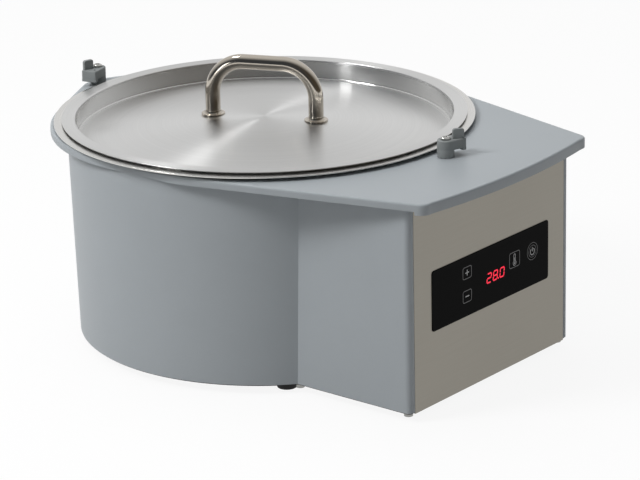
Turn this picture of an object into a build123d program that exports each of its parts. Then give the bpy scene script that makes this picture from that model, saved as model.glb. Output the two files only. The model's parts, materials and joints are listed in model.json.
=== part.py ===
from build123d import *
import os
from math import atan2, cos, radians, sin, sqrt

os.makedirs("parts", exist_ok=True)

# A melting tank for chocolate. A lidded steel tank hangs in a heated aluminium well, in
# a moulded drum with a control box at its front. Millimetres, +Z up, the control panel
# faces -Y, and the origin is on the ground at the middle of the outline.

# Clearances
running_gap = 0.1
turning_gap = 0.3
fitting_gap = 0.3
seat_gap = 0.1

# Sheets and walls
tank_sheet = 1.0
flange_sheet = 1.2
lid_sheet = 1.0
well_sheet = 1.5
heater_sheet = 1.5
panel_sheet = 1.5
base_sheet = 1.2
shell_wall = 2.5
panel_backing = 3.0
skirt_wall = 1.7
circuit_board = 1.6

# Tank, hung by its flange, with a raised bead round the mouth that carries the lid
mouth_radius = 176.5
tank_depth = 164.0
shoulder_width = 16.5
shoulder_height = 9.0
collar_height = 19.0
wall_taper = 3.0
tank_corner = 25.0
flange_width = 17.5
bead_height = 1.6
bead_width = 3.0

# Lid, a dished pan with a domed floor
lid_passage = 0.5
lid_rim_width = 12.8
lid_wall_lean = 0.8
lid_wall_depth = 18.0
lid_gutter = 3.6
lid_rise = 13.0

# Lid handle, a bent bar on two rosettes
handle_bar = 14.0
handle_span = 100.0
handle_height = 53.0
handle_bend = 26.5
handle_turn = -68.2
leg_flare = 1.5
leg_flare_height = 3.0
rosette_radius = 11.0
rosette_height = 1.5
handle_screw_radius = 2.9
handle_screw_grip = 14.0

# Heated well round the tank
well_air = 1.0
floor_air = 2.0
well_corner = 20.0
well_flange_drop = 29.5
well_flange_width = 14.0
ledge_width = 10.0
ledge_thickness = 3.0
jacket_thickness = 9.0
underlay_thickness = 12.0
under_space = 20.8
sensor_opening = 42.0

# Housing
foot_height = 8.0
tank_passage = 1.0
drum_taper = 4.5
box_half_width = 120.5
box_room = 74.5
box_corner = 5.0
post_width = 7.5
deck_thickness = 7.0
deck_lip = 3.0
deck_lip_width = 4.0
deck_edge = 2.0
deck_overhang = 28.5
deck_front_sag = 9.0
deck_margin = 1.0
deck_shoulder = -49.0
deck_flank_slope = 0.496
deck_ear_room = 14.0
front_corner = 9.5
shoulder_round = 60.0
flank_round = 170.0
ear_round = 30.0
skirt_depth = 8.0
gasket_height = 3.2
gasket_width = 7.0
gasket_inset = 2.5

# Turn clamps on the deck that hold the tank's flange down
clamp_boss = 7.75
clamp_reach = 17.5
clamp_bite = 4.0
clamp_top = 9.0
clamp_toe = 4.0
clamp_toe_gap = 0.5
clamp_arm_gap = 0.2
clamp_tab_width = 10.5
clamp_tab_thickness = 3.4
clamp_tab_height = 9.0
clamp_tab_place = (11.0, -4.0)
clamp_tab_turn = -27.0
clamp_screw_radius = 2.9
clamp_head_radius = 4.6
clamp_head_height = 2.4
front_clamp_angle = -15.0
rear_clamp_angle = 193.0

# Control panel and its membrane, seen from the front: x to the right
panel_drop = 0.5
membrane_width = 175.8
membrane_height = 56.0
membrane_corner = 3.0
membrane_thickness = 0.5
membrane_below_deck = 94.2
display_place = (8.8, -3.9)
display_size = (31.0, 14.0)
key_places = [(-33.4, 11.2), (-33.4, -11.2), (37.6, 4.5), (65.0, 3.9)]
key_hole_radius = 4.0

# Control board behind the panel
board_middle = 16.0
board_half_width = 66.0
board_half_height = 27.0
board_window_half_width = 58.0
board_window_half_height = 18.0
board_boss_radius = 3.0
board_boss_height = 2.0

# Power board on the base plate, measured back from the box's front
power_board_start = 12.5
power_board_depth = 64.0
power_board_half_width = 65.0
spacer_height = 10.0
terminal_depth = 12.0
terminal_height = 14.0

# Power inlet in the box's right side
inlet_back = 52.5
inlet_height = 45.0
inlet_body = (27.0, 20.0)
inlet_flange = (48.0, 22.0)
inlet_flange_thickness = 2.5
inlet_depth = 20.0
inlet_recess = (24.0, 16.5)
inlet_recess_depth = 16.0
inlet_screw_spread = 20.0

# Fasteners and feet
small_screw = 1.45
medium_screw = 1.95
small_head = 2.75
medium_head = 4.0
foot_radius = 10.0
foot_inset = 18.7

# Radii that follow
collar_radius = mouth_radius + tank_sheet
wall_top_radius = collar_radius - shoulder_width
wall_bottom_radius = wall_top_radius - wall_taper
flange_radius = collar_radius + flange_width
well_radius = wall_top_radius + well_air
well_outer_radius = well_radius + well_sheet
heater_outer_radius = well_outer_radius + heater_sheet
jacket_radius = heater_outer_radius + jacket_thickness
deck_hole_radius = collar_radius + tank_passage
drum_top_radius = deck_hole_radius + skirt_wall + fitting_gap + shell_wall
drum_bottom_radius = drum_top_radius - drum_taper
clamp_pivot_radius = flange_radius + clamp_reach - clamp_bite

# Heights that follow, from the ground up
base_bottom = foot_height
base_top = base_bottom + base_sheet
underlay_bottom = base_top + under_space
heater_bottom = underlay_bottom + underlay_thickness
well_bottom = heater_bottom + heater_sheet
well_floor = well_bottom + well_sheet
tank_bottom = well_floor + floor_air
bead_top = tank_bottom + tank_depth
flange_top = bead_top - bead_height
flange_bottom = flange_top - flange_sheet
deck_top = flange_bottom - gasket_height
deck_bottom = deck_top - deck_thickness
rim_top = bead_top + lid_sheet
ledge_top = deck_top - well_flange_drop + well_sheet
ledge_bottom = ledge_top - ledge_thickness

# Reaches that follow, seen from above and measured from the tank's axis
box_front = drum_top_radius + box_room
deck_front = box_front + deck_overhang
deck_half_width = drum_top_radius + deck_margin
panel_half_width = box_half_width - post_width
ear_corner = clamp_pivot_radius + deck_ear_room
flank_start = ear_corner - deck_flank_slope * deck_half_width
flank_turn = atan2(deck_flank_slope, 1)
deck_rear = ear_corner - ear_round * (1 / cos(flank_turn) - 1)
tank_y = (deck_front - deck_rear) / 2
tank_axis = Axis((0, tank_y, 0), (0, 0, 1))

# Which way a face or a screw head looks
up = (0, 0, 1)
down = (0, 0, -1)
forward = (0, -1, 0)
backward = (0, 1, 0)
rightward = (1, 0, 0)


def at(x, y, z):
    # A point whose x and y are measured from the tank's axis.
    return (x, tank_y + y, z)


def level(z):
    return Plane(at(0, 0, z))


def front_plane(depth):
    # Upright, x to the right and y up, facing the user.
    return Plane(at(0, -depth, 0), x_dir=rightward, z_dir=forward)


def side_plane(x):
    # Upright on the right side at the inlet's middle, its x towards the back.
    return Plane(at(x, inlet_back - box_front, inlet_height), x_dir=backward, z_dir=rightward)


def dome(radius):
    # Height of the lid's domed floor, on its upper face.
    return lid_floor_middle - dome_radius + sqrt(dome_radius**2 - radius**2)


def save(builder, name):
    builder.part.label = name
    export_step(builder.part, f"parts/{name}.step")


def screws(seats, facing, head_radius, head_height, shank_radius, length):
    # Plain-headed screws. A seat is the point under the head's middle.
    with BuildPart() as made:
        for seat in seats:
            seat_plane = Plane(seat, z_dir=facing)
            with BuildSketch(seat_plane):
                Circle(head_radius)
            extrude(amount=head_height)
            with BuildSketch(seat_plane):
                Circle(shank_radius)
            extrude(amount=-length)
    return made


def nuts(seats, facing, half_width, height, bore):
    with BuildPart() as made:
        for seat in seats:
            with BuildSketch(Plane(seat, z_dir=facing)):
                RegularPolygon(half_width, 6, major_radius=False)
                Circle(bore, mode=Mode.SUBTRACT)
            extrude(amount=height)
    return made


def leads(routes, radius, bend):
    # Round wires along straight runs joined by arcs.
    with BuildPart() as made:
        for route in routes:
            with BuildLine(mode=Mode.PRIVATE) as path:
                FilletPolyline(*route, radius=bend)
            with BuildSketch(Plane(path.line @ 0, z_dir=path.line % 0)):
                Circle(radius)
            sweep(path=path.line)
    return made


# The tank, spun and drawn from one sheet
shoulder_top = flange_top - collar_height
shoulder_bottom = shoulder_top - shoulder_height
bead_radius = mouth_radius + bead_width + flange_sheet

with BuildPart() as tank:
    with BuildSketch(front_plane(0)) as tank_section:
        with BuildLine():
            Polyline(
                (0, tank_bottom),
                (wall_bottom_radius, tank_bottom),
                (wall_top_radius, shoulder_bottom),
                (collar_radius, shoulder_top),
                (collar_radius, flange_bottom),
                (flange_radius, flange_bottom),
                (flange_radius, flange_top),
                (bead_radius, flange_top),
                (bead_radius, bead_top),
                (0, bead_top),
                close=True,
            )
        make_face()
        fillet(tank_section.vertices().sort_by_distance((wall_bottom_radius, tank_bottom))[0], tank_corner)
    revolve(axis=tank_axis)
    with BuildSketch(front_plane(0)) as tank_hollow:
        with BuildLine():
            Polyline(
                (0, tank_bottom + tank_sheet),
                (wall_bottom_radius - tank_sheet, tank_bottom + tank_sheet),
                (wall_top_radius - tank_sheet, shoulder_bottom + tank_sheet / 2),
                (mouth_radius, shoulder_top + tank_sheet / 2),
                (mouth_radius, bead_top),
                (0, bead_top),
                close=True,
            )
        make_face()
        inner_corner = tank_hollow.vertices().sort_by_distance(
            (wall_bottom_radius - tank_sheet, tank_bottom + tank_sheet)
        )[0]
        fillet(inner_corner, tank_corner - tank_sheet)
    revolve(axis=tank_axis, mode=Mode.SUBTRACT)
    bead_edges = tank.edges().filter_by(GeomType.CIRCLE).group_by(Axis.Z)[-1]
    fillet(bead_edges, bead_height / 3)
save(tank, "tank")

# The lid: rim, steep wall, gutter and domed floor
gutter_height = rim_top - lid_wall_depth
lid_wall_radius = mouth_radius - lid_passage - lid_sheet
lid_rim_radius = lid_wall_radius + lid_rim_width
wall_foot_radius = lid_wall_radius - lid_wall_lean
floor_radius = wall_foot_radius - lid_gutter
lid_floor_middle = gutter_height + lid_rise
dome_radius = (floor_radius**2 + lid_rise**2) / (2 * lid_rise)
handle_points = [
    (reach * cos(radians(handle_turn)), reach * sin(radians(handle_turn)))
    for reach in (-handle_span / 2, handle_span / 2)
]
rim_bottom = rim_top - lid_sheet
gutter_bottom = gutter_height - lid_sheet

with BuildPart() as lid:
    with BuildSketch(front_plane(0)) as lid_section:
        with BuildLine():
            Polyline(
                (floor_radius, gutter_height),
                (wall_foot_radius, gutter_height),
                (lid_wall_radius, rim_top),
                (lid_rim_radius, rim_top),
                (lid_rim_radius, rim_bottom),
                (lid_wall_radius + lid_sheet, rim_bottom),
                (wall_foot_radius + lid_sheet, gutter_bottom),
                (floor_radius, gutter_bottom),
            )
            under_side = RadiusArc(
                (floor_radius, gutter_bottom), (0, lid_floor_middle - lid_sheet), -dome_radius
            )
            Line(under_side @ 1, (0, lid_floor_middle))
            RadiusArc((0, lid_floor_middle), (floor_radius, gutter_height), dome_radius)
        make_face()
    revolve(axis=tank_axis)
    with BuildSketch(level(rim_top)):
        with Locations(*handle_points):
            Circle(handle_screw_radius + fitting_gap)
    extrude(amount=-lid_wall_depth, mode=Mode.SUBTRACT)
save(lid, "lid")

# The handle's rosettes, their undersides hollowed to the dome
rosette_top = dome(handle_span / 2) + rosette_height

with BuildPart() as handle_rosettes:
    with BuildSketch(level(rosette_top)):
        with Locations(*handle_points):
            Circle(rosette_radius)
    extrude(amount=-2 * rosette_height)
    with Locations(at(0, 0, lid_floor_middle - dome_radius)):
        Sphere(dome_radius + seat_gap, mode=Mode.SUBTRACT)
    with BuildSketch(level(rosette_top)):
        with Locations(*handle_points):
            Circle(handle_screw_radius + fitting_gap)
    extrude(amount=-2 * rosette_height, mode=Mode.SUBTRACT)
save(handle_rosettes, "handle_rosettes")

# The handle, a round bar bent to an arch, its feet flared and tapped
bar_top = rim_top + handle_height - handle_bar / 2
half_span = handle_span / 2
handle_along = (cos(radians(handle_turn)), sin(radians(handle_turn)), 0)
handle_across = (handle_along[1], -handle_along[0], 0)

with BuildPart() as lid_handle:
    with BuildLine(Plane(at(0, 0, 0), x_dir=handle_along, z_dir=handle_across)) as bar_path:
        FilletPolyline(
            (-half_span, rosette_top),
            (-half_span, bar_top),
            (half_span, bar_top),
            (half_span, rosette_top),
            radius=handle_bend,
        )
    with BuildSketch(Plane(bar_path.line @ 0, z_dir=up)):
        Circle(handle_bar / 2)
    sweep()
    with Locations(*[at(x, y, rosette_top) for x, y in handle_points]):
        Cone(
            handle_bar / 2 + leg_flare,
            handle_bar / 2,
            leg_flare_height,
            align=(Align.CENTER, Align.CENTER, Align.MIN),
        )
    with BuildSketch(level(rosette_top)):
        with Locations(*handle_points):
            Circle(handle_screw_radius + running_gap)
    extrude(amount=handle_screw_grip, mode=Mode.SUBTRACT)
save(lid_handle, "lid_handle")

# Screws from under the lid into the handle's feet
lid_screw_head = 5.0
lid_screw_head_height = 3.5
lid_under_feet = dome(half_span + lid_screw_head) - lid_sheet - seat_gap
handle_screws = screws(
    [at(x, y, lid_under_feet) for x, y in handle_points],
    down,
    lid_screw_head,
    lid_screw_head_height,
    handle_screw_radius,
    rosette_top - lid_under_feet + handle_screw_grip - 2,
)
save(handle_screws, "handle_screws")

# The deck's outline: a bowed front edge, sides that widen to the drum, and two long
# flanks that meet in a rounded ear behind the tank
front_half_width = box_half_width + 1.5
deck_side = (deck_half_width, deck_shoulder)
deck_flank = (deck_half_width, flank_start)
deck_front_corner = (front_half_width, -(deck_front - deck_front_sag))

with BuildSketch() as deck_outline:
    with BuildLine() as deck_edge_line:
        Polyline(deck_front_corner, deck_side, deck_flank, (0, ear_corner))
        mirror(about=Plane.YZ)
        ThreePointArc(
            deck_front_corner,
            (0, -deck_front),
            (-deck_front_corner[0], deck_front_corner[1]),
        )
    make_face()
    for corner, radius in (
        (deck_front_corner, front_corner),
        (deck_side, shoulder_round),
        (deck_flank, flank_round),
    ):
        for mirrored in (corner, (-corner[0], corner[1])):
            fillet(deck_outline.vertices().sort_by_distance(mirrored)[0], radius)
    fillet(deck_outline.vertices().sort_by_distance((0, ear_corner))[0], ear_round)

clamp_places = [(0, -clamp_pivot_radius), (0, clamp_pivot_radius)]
lug_radius = 6.0
lug_height = 12.0
lug_x = box_half_width - shell_wall - 5.0
lug_ring = drum_top_radius + 2 * lug_radius + 0.88
lug_rows = (-(box_front - 12.5), -sqrt(lug_ring**2 - lug_x**2))
lug_places = [(side * lug_x, row) for side in (-1, 1) for row in lug_rows]
insert_radius = 2.8
insert_depth = 5.0

with BuildPart() as top_deck:
    with BuildSketch(level(deck_bottom)):
        add(deck_outline.sketch)
    extrude(amount=deck_thickness)
    # The front edge is drawn down to a deeper lip, which runs just round both corners.
    with BuildSketch(level(deck_bottom)):
        add(deck_outline.sketch)
        offset(deck_outline.sketch, amount=-deck_lip_width, mode=Mode.SUBTRACT)
        with Locations((0, -deck_front)):
            Rectangle(3 * deck_half_width, 2 * (deck_front_sag + front_corner), mode=Mode.INTERSECT)
    extrude(amount=-deck_lip)
    fillet(top_deck.faces().sort_by(Axis.Z)[-1].edges(), deck_edge)
    # A skirt under the deck drops inside the drum's rim and centres it.
    with BuildSketch(level(deck_bottom)):
        Circle(deck_hole_radius + skirt_wall)
    extrude(amount=-skirt_depth)
    with BuildSketch(level(deck_top)):
        Circle(deck_hole_radius)
        with Locations(*clamp_places):
            Circle(clamp_screw_radius + fitting_gap)
    extrude(amount=-(deck_thickness + skirt_depth), mode=Mode.SUBTRACT)
    with BuildSketch(level(deck_bottom)):
        with Locations(*lug_places):
            Circle(insert_radius)
    extrude(amount=insert_depth, mode=Mode.SUBTRACT)
save(top_deck, "top_deck")

# Threaded inserts in the deck's underside, and the screws that come up into them
deck_screw_length = lug_height + insert_depth - 0.5

with BuildPart() as deck_inserts:
    with BuildSketch(level(deck_bottom)):
        with Locations(*lug_places):
            Circle(insert_radius)
            Circle(medium_screw + running_gap, mode=Mode.SUBTRACT)
    extrude(amount=insert_depth)
save(deck_inserts, "deck_inserts")

deck_screws = screws(
    [at(x, y, deck_bottom - lug_height) for x, y in lug_places],
    down,
    3.5,
    2.6,
    medium_screw,
    deck_screw_length,
)
save(deck_screws, "deck_screws")

# The housing, moulded in one piece: a slightly tapered drum run into a square box
shell_height = deck_bottom - base_top
boss_radius = 4.5
boss_height = 25.0
boss_ring = drum_bottom_radius - 4.9
corner_x = box_half_width - 5.5
rear_boss_angle = radians(60)
base_screw_places = [
    (side * x, y)
    for side in (-1, 1)
    for x, y in (
        (box_half_width - 7.5, -(box_front - 7.5)),
        (corner_x, -sqrt(boss_ring**2 - corner_x**2)),
        (boss_ring * cos(rear_boss_angle), boss_ring * sin(rear_boss_angle)),
    )
]
recess_back = box_front - panel_sheet
wall_back = recess_back - panel_backing
membrane_middle = deck_bottom - membrane_below_deck
board_corners = [
    (board_middle + x, membrane_middle + y)
    for x in (-board_half_width + 4.0, board_half_width - 4.0)
    for y in (-board_half_height + 5.0, board_half_height - 5.0)
]
stud_radius = 2.0
stud_places = [
    (side * (panel_half_width - 13.0), height)
    for side in (-1, 1)
    for height in (base_top + 21.0, deck_bottom - 18.0)
]
well_screw_radius = (well_outer_radius + well_flange_width + wall_top_radius + 11.5) / 2

with BuildPart() as body_shell:
    with Locations(at(0, 0, base_top)):
        Cone(
            drum_bottom_radius,
            drum_top_radius,
            shell_height,
            align=(Align.CENTER, Align.CENTER, Align.MIN),
        )
    with BuildSketch(level(base_top)) as box_outline:
        with Locations((0, -box_front / 2)):
            Rectangle(2 * box_half_width, box_front)
        fillet(box_outline.vertices().group_by(Axis.Y)[0], box_corner)
    extrude(amount=shell_height)
    # Inside: one open room from the drum through to the box.
    with Locations(at(0, 0, base_top)):
        Cone(
            drum_bottom_radius - shell_wall,
            drum_top_radius - shell_wall,
            shell_height,
            align=(Align.CENTER, Align.CENTER, Align.MIN),
            mode=Mode.SUBTRACT,
        )
    with BuildSketch(level(base_top)):
        with Locations((0, -wall_back / 2)):
            Rectangle(2 * (box_half_width - shell_wall), wall_back)
    extrude(amount=shell_height, mode=Mode.SUBTRACT)
    # The ledge that carries the well, whole across the box.
    with BuildSketch(level(ledge_bottom)):
        Circle(drum_top_radius - shell_wall * 0.6)
        Circle(drum_top_radius - shell_wall - ledge_width, mode=Mode.SUBTRACT)
    extrude(amount=ledge_thickness)
    # Columns for the base plate's screws, and lugs for the deck's.
    with BuildSketch(level(base_top)):
        with Locations(*base_screw_places):
            Circle(boss_radius)
    extrude(amount=boss_height)
    with BuildSketch(level(deck_bottom)):
        with Locations(*lug_places):
            Circle(lug_radius)
    extrude(amount=-lug_height)
    # Low bosses behind the front wall for the control board.
    with BuildSketch(front_plane(wall_back)):
        with Locations(*board_corners):
            Circle(board_boss_radius)
    extrude(amount=-board_boss_height)
    # The recess between the two posts takes the steel panel.
    with BuildSketch(front_plane(box_front)):
        with Locations((0, base_top + shell_height / 2)):
            Rectangle(2 * (panel_half_width + fitting_gap), 2 * shell_height)
    extrude(amount=-panel_sheet, mode=Mode.SUBTRACT)
    with BuildSketch(front_plane(recess_back)):
        with Locations((board_middle, membrane_middle)):
            Rectangle(2 * board_window_half_width, 2 * board_window_half_height)
        with Locations(*stud_places):
            Circle(stud_radius + fitting_gap)
    extrude(amount=-panel_backing, mode=Mode.SUBTRACT)
    with BuildSketch(front_plane(wall_back - board_boss_height)):
        with Locations(*board_corners):
            Circle(small_screw + running_gap)
    extrude(amount=board_boss_height + panel_backing - 1.0, mode=Mode.SUBTRACT)
    # Screw holes in the columns, the lugs and the ledge.
    with BuildSketch(level(base_top)):
        with Locations(*base_screw_places):
            Circle(medium_screw + running_gap)
    extrude(amount=boss_height - 3.0, mode=Mode.SUBTRACT)
    with BuildSketch(level(deck_bottom)):
        with Locations(*lug_places):
            Circle(medium_screw + fitting_gap)
    extrude(amount=-lug_height, mode=Mode.SUBTRACT)
    with BuildSketch(level(ledge_bottom)):
        with PolarLocations(well_screw_radius, 6, start_angle=30):
            Circle(small_screw + running_gap)
    extrude(amount=ledge_thickness, mode=Mode.SUBTRACT)
    # The opening for the power inlet and its two screws.
    with BuildSketch(side_plane(box_half_width)):
        Rectangle(inlet_body[0] + 2 * fitting_gap, inlet_body[1] + 2 * fitting_gap)
        with Locations((-inlet_screw_spread, 0), (inlet_screw_spread, 0)):
            Circle(small_screw + running_gap)
    extrude(amount=-shell_wall, mode=Mode.SUBTRACT)
save(body_shell, "body_shell")

# The base plate closes the housing from below, with slots under the electronics
power_board_back = -(box_front - power_board_start - power_board_depth)
power_board_middle = power_board_back - power_board_depth / 2
plate_inset = 1.5
slot_length = 34.0
slot_pitch = 9.0
foot_reach = (drum_bottom_radius - foot_inset) * sqrt(0.5)
foot_places = [(x, y) for x in (-foot_reach, foot_reach) for y in (-foot_reach, foot_reach)]

with BuildPart() as base_plate:
    with BuildSketch(level(base_bottom)) as plate_outline:
        with Locations((0, -(box_front - plate_inset) / 2)):
            Rectangle(2 * (box_half_width - plate_inset), box_front - plate_inset)
        fillet(plate_outline.vertices().group_by(Axis.Y)[0], box_corner - plate_inset)
        Circle(drum_bottom_radius - plate_inset)
        with Locations(*base_screw_places, *foot_places):
            Circle(medium_screw + fitting_gap, mode=Mode.SUBTRACT)
        with Locations((0, power_board_middle)):
            with GridLocations(slot_pitch, 0, 9, 1):
                SlotOverall(slot_length, 3.0, rotation=90, mode=Mode.SUBTRACT)
    extrude(amount=base_sheet)
save(base_plate, "base_plate")

base_screws = screws(
    [at(x, y, base_bottom) for x, y in base_screw_places],
    down,
    medium_head,
    3.5,
    medium_screw,
    base_sheet + boss_height - 5.0,
)
save(base_screws, "base_screws")

# Rubber feet, each on a countersunk screw with a nut on the plate
foot_recess_radius = 5.5
foot_recess = 3.0

with BuildPart() as rubber_feet:
    for x, y in foot_places:
        with Locations(at(x, y, 0)):
            Cone(
                foot_radius - 1.0,
                foot_radius,
                foot_height,
                align=(Align.CENTER, Align.CENTER, Align.MIN),
            )
    with BuildSketch(level(0)):
        with Locations(*foot_places):
            Circle(foot_recess_radius)
    extrude(amount=foot_recess, mode=Mode.SUBTRACT)
    with BuildSketch(level(0)):
        with Locations(*foot_places):
            Circle(medium_screw + running_gap)
    extrude(amount=foot_height, mode=Mode.SUBTRACT)
save(rubber_feet, "rubber_feet")

foot_screws = screws(
    [at(x, y, foot_recess) for x, y in foot_places],
    down,
    medium_head,
    2.2,
    medium_screw,
    foot_height - foot_recess + base_sheet + 4.5,
)
save(foot_screws, "foot_screws")
foot_nuts = nuts(
    [at(x, y, base_top) for x, y in foot_places], up, 3.5, 3.2, medium_screw + running_gap
)
save(foot_nuts, "foot_nuts")

# The heated well, a spun pot whose flange rests on the ledge
well_flange_radius = well_outer_radius + well_flange_width

with BuildPart() as heater_well:
    with BuildSketch(front_plane(0)) as well_section:
        with BuildLine():
            Polyline(
                (0, well_bottom),
                (well_outer_radius, well_bottom),
                (well_outer_radius, ledge_top),
                (well_flange_radius, ledge_top),
                (well_flange_radius, ledge_top + well_sheet),
                (0, ledge_top + well_sheet),
                close=True,
            )
        make_face()
        fillet(
            well_section.vertices().sort_by_distance((well_outer_radius, well_bottom))[0],
            well_corner + well_sheet,
        )
    revolve(axis=tank_axis)
    with BuildSketch(front_plane(0)) as well_hollow:
        with BuildLine():
            Polyline(
                (0, well_floor),
                (well_radius, well_floor),
                (well_radius, ledge_top + well_sheet),
                (0, ledge_top + well_sheet),
                close=True,
            )
        make_face()
        fillet(well_hollow.vertices().sort_by_distance((well_radius, well_floor))[0], well_corner)
    revolve(axis=tank_axis, mode=Mode.SUBTRACT)
    with BuildSketch(level(ledge_top)):
        with PolarLocations(well_screw_radius, 6, start_angle=30):
            Circle(small_screw + running_gap)
    extrude(amount=well_sheet, mode=Mode.SUBTRACT)
save(heater_well, "heater_well")

well_screw_angles = [radians(30 + 60 * turn) for turn in range(6)]
well_screws = screws(
    [
        at(well_screw_radius * cos(turn), well_screw_radius * sin(turn), ledge_top + well_sheet)
        for turn in well_screw_angles
    ],
    up,
    small_head,
    2.0,
    small_screw,
    well_sheet + ledge_thickness,
)
save(well_screws, "well_screws")

# Foil heaters bonded round the well and under its floor
heater_skirt = well_bottom + well_corner + well_sheet
side_heater_top = ledge_bottom - 9.0
base_heater_radius = well_radius - well_corner - 2.0

with BuildPart() as side_heater:
    with BuildSketch(level(heater_skirt)):
        Circle(heater_outer_radius)
        Circle(well_outer_radius, mode=Mode.SUBTRACT)
    extrude(amount=side_heater_top - heater_skirt)
save(side_heater, "side_heater")

with BuildPart() as base_heater:
    with BuildSketch(level(heater_bottom)):
        Circle(base_heater_radius)
        Circle(sensor_opening, mode=Mode.SUBTRACT)
    extrude(amount=heater_sheet)
save(base_heater, "base_heater")

# Mineral wool round the side heater and under the base heater
jacket_bottom = heater_skirt + 2.0

with BuildPart() as insulation_jacket:
    with BuildSketch(level(jacket_bottom)):
        Circle(jacket_radius)
        Circle(heater_outer_radius, mode=Mode.SUBTRACT)
    extrude(amount=ledge_bottom - 2.0 - jacket_bottom)
save(insulation_jacket, "insulation_jacket")

base_lead_y = -(base_heater_radius - 8.0)

with BuildPart() as insulation_disc:
    with BuildSketch(level(underlay_bottom)):
        Circle(base_heater_radius)
        Circle(sensor_opening + 3.0, mode=Mode.SUBTRACT)
        with Locations((0, base_lead_y - 5.0)):
            Rectangle(24.0, 26.0, mode=Mode.SUBTRACT)
    extrude(amount=underlay_thickness)
save(insulation_disc, "insulation_disc")

# The probe in its block and the safety cut-out, both against the well's floor
block_place = (-18.0, 0.0)
block_size = (16.0, 24.0, 8.0)
probe_radius = 2.5
probe_length = 32.0
probe_height = well_bottom - block_size[2] / 2
cutout_place = (28.0, 0.0)
cutout_cap_radius = 8.0
cutout_cap_height = 4.5
cutout_body_radius = 7.0
cutout_body_height = 5.0

with BuildPart() as probe_block:
    with BuildSketch(level(well_bottom)):
        with Locations(block_place):
            RectangleRounded(block_size[0], block_size[1], 2.0)
    extrude(amount=-block_size[2])
    with BuildSketch(Plane(at(block_place[0], -block_size[1], probe_height), z_dir=backward)):
        Circle(probe_radius + running_gap)
    extrude(amount=2 * block_size[1], mode=Mode.SUBTRACT)
save(probe_block, "probe_block")

with BuildPart() as temperature_probe:
    with BuildSketch(Plane(at(block_place[0], -probe_length / 2, probe_height), z_dir=backward)):
        Circle(probe_radius)
    extrude(amount=probe_length)
save(temperature_probe, "temperature_probe")

with BuildPart() as thermal_cutout:
    with BuildSketch(level(well_bottom)):
        with Locations(cutout_place):
            Circle(cutout_cap_radius)
    extrude(amount=-cutout_cap_height)
    with BuildSketch(level(well_bottom - cutout_cap_height)):
        with Locations(cutout_place):
            Circle(cutout_body_radius)
    extrude(amount=-cutout_body_height)
save(thermal_cutout, "thermal_cutout")

# The gasket that seals the tank's flange to the deck
gasket_radius = deck_hole_radius + gasket_inset

with BuildPart() as flange_gasket:
    with BuildSketch(level(deck_top)):
        Circle(gasket_radius + gasket_width)
        Circle(gasket_radius, mode=Mode.SUBTRACT)
    extrude(amount=gasket_height)
save(flange_gasket, "flange_gasket")

# The steel front panel, held by four welded studs
panel_top = deck_bottom - 0.5
panel_bottom = base_bottom - panel_drop
panel_nut_height = 3.2
display_middle = (display_place[0], membrane_middle + display_place[1])
key_middles = [(x, membrane_middle + y) for x, y in key_places]

with BuildPart() as front_panel:
    with BuildSketch(front_plane(box_front)):
        with Locations((0, (panel_top + panel_bottom) / 2)):
            Rectangle(2 * panel_half_width, panel_top - panel_bottom)
        with Locations(display_middle):
            Rectangle(display_size[0] + 2.0, display_size[1] + 2.0, mode=Mode.SUBTRACT)
        with Locations(*key_middles):
            Circle(key_hole_radius, mode=Mode.SUBTRACT)
    extrude(amount=-panel_sheet)
    with BuildSketch(front_plane(recess_back)):
        with Locations(*stud_places):
            Circle(stud_radius)
    extrude(amount=-(panel_backing + panel_nut_height + 1.5))
save(front_panel, "front_panel")

panel_nuts = nuts(
    [at(x, -wall_back, z) for x, z in stud_places],
    backward,
    3.5,
    panel_nut_height,
    stud_radius + running_gap,
)
save(panel_nuts, "panel_nuts")

# The membrane, one flat sheet with printed keys, stuck on the panel
with BuildPart() as membrane_keypad:
    with BuildSketch(front_plane(box_front)):
        with Locations((0, membrane_middle)):
            RectangleRounded(membrane_width, membrane_height, membrane_corner)
    extrude(amount=membrane_thickness)
save(membrane_keypad, "membrane_keypad")

# The control board with its display and four press switches
board_front = wall_back - board_boss_height
board_back = board_front - circuit_board
behind_membrane = box_front - board_front - 0.2
ribbon_x = -32.0
ribbon_width = 12.0
ribbon_thickness = 1.0
ribbon_height = membrane_middle - board_half_height + 7.0
header_size = (14.0, 6.0)
header_height = 8.0

with BuildPart() as control_board:
    with BuildSketch(front_plane(board_front)):
        with Locations((board_middle, membrane_middle)):
            Rectangle(2 * board_half_width, 2 * board_half_height)
        with Locations(*board_corners):
            Circle(small_screw + running_gap, mode=Mode.SUBTRACT)
    extrude(amount=-circuit_board)
save(control_board, "control_board")

board_screws = screws(
    [at(x, -board_back, z) for x, z in board_corners],
    backward,
    small_head,
    2.0,
    small_screw,
    circuit_board + board_boss_height + panel_backing - 1.5,
)
save(board_screws, "board_screws")

with BuildPart() as display_module:
    with BuildSketch(front_plane(board_front)):
        with Locations(display_middle):
            Rectangle(*display_size)
    extrude(amount=behind_membrane)
save(display_module, "display_module")

with BuildPart() as key_switches:
    with BuildSketch(front_plane(board_front)):
        with Locations(*key_middles):
            Rectangle(6.0, 6.0)
    extrude(amount=3.6)
    with BuildSketch(front_plane(board_front)):
        with Locations(*key_middles):
            Circle(1.75)
    extrude(amount=behind_membrane)
save(key_switches, "key_switches")

# The power board on four spacers, with its transformer, relays and terminals
board_level = base_top + spacer_height
board_top = board_level + circuit_board
spacer_places = [
    (x, power_board_middle + y)
    for x in (-power_board_half_width + 4.0, power_board_half_width - 4.0)
    for y in (-power_board_depth / 2 + 5.0, power_board_depth / 2 - 4.0)
]
terminal_width = 78.0
mains_terminal = (12.0, 28.0)
mains_terminal_x = power_board_half_width - mains_terminal[0] / 2
inlet_y = inlet_back - box_front
terminal_places = [(0, power_board_back - terminal_depth / 2), (mains_terminal_x, inlet_y)]

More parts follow.
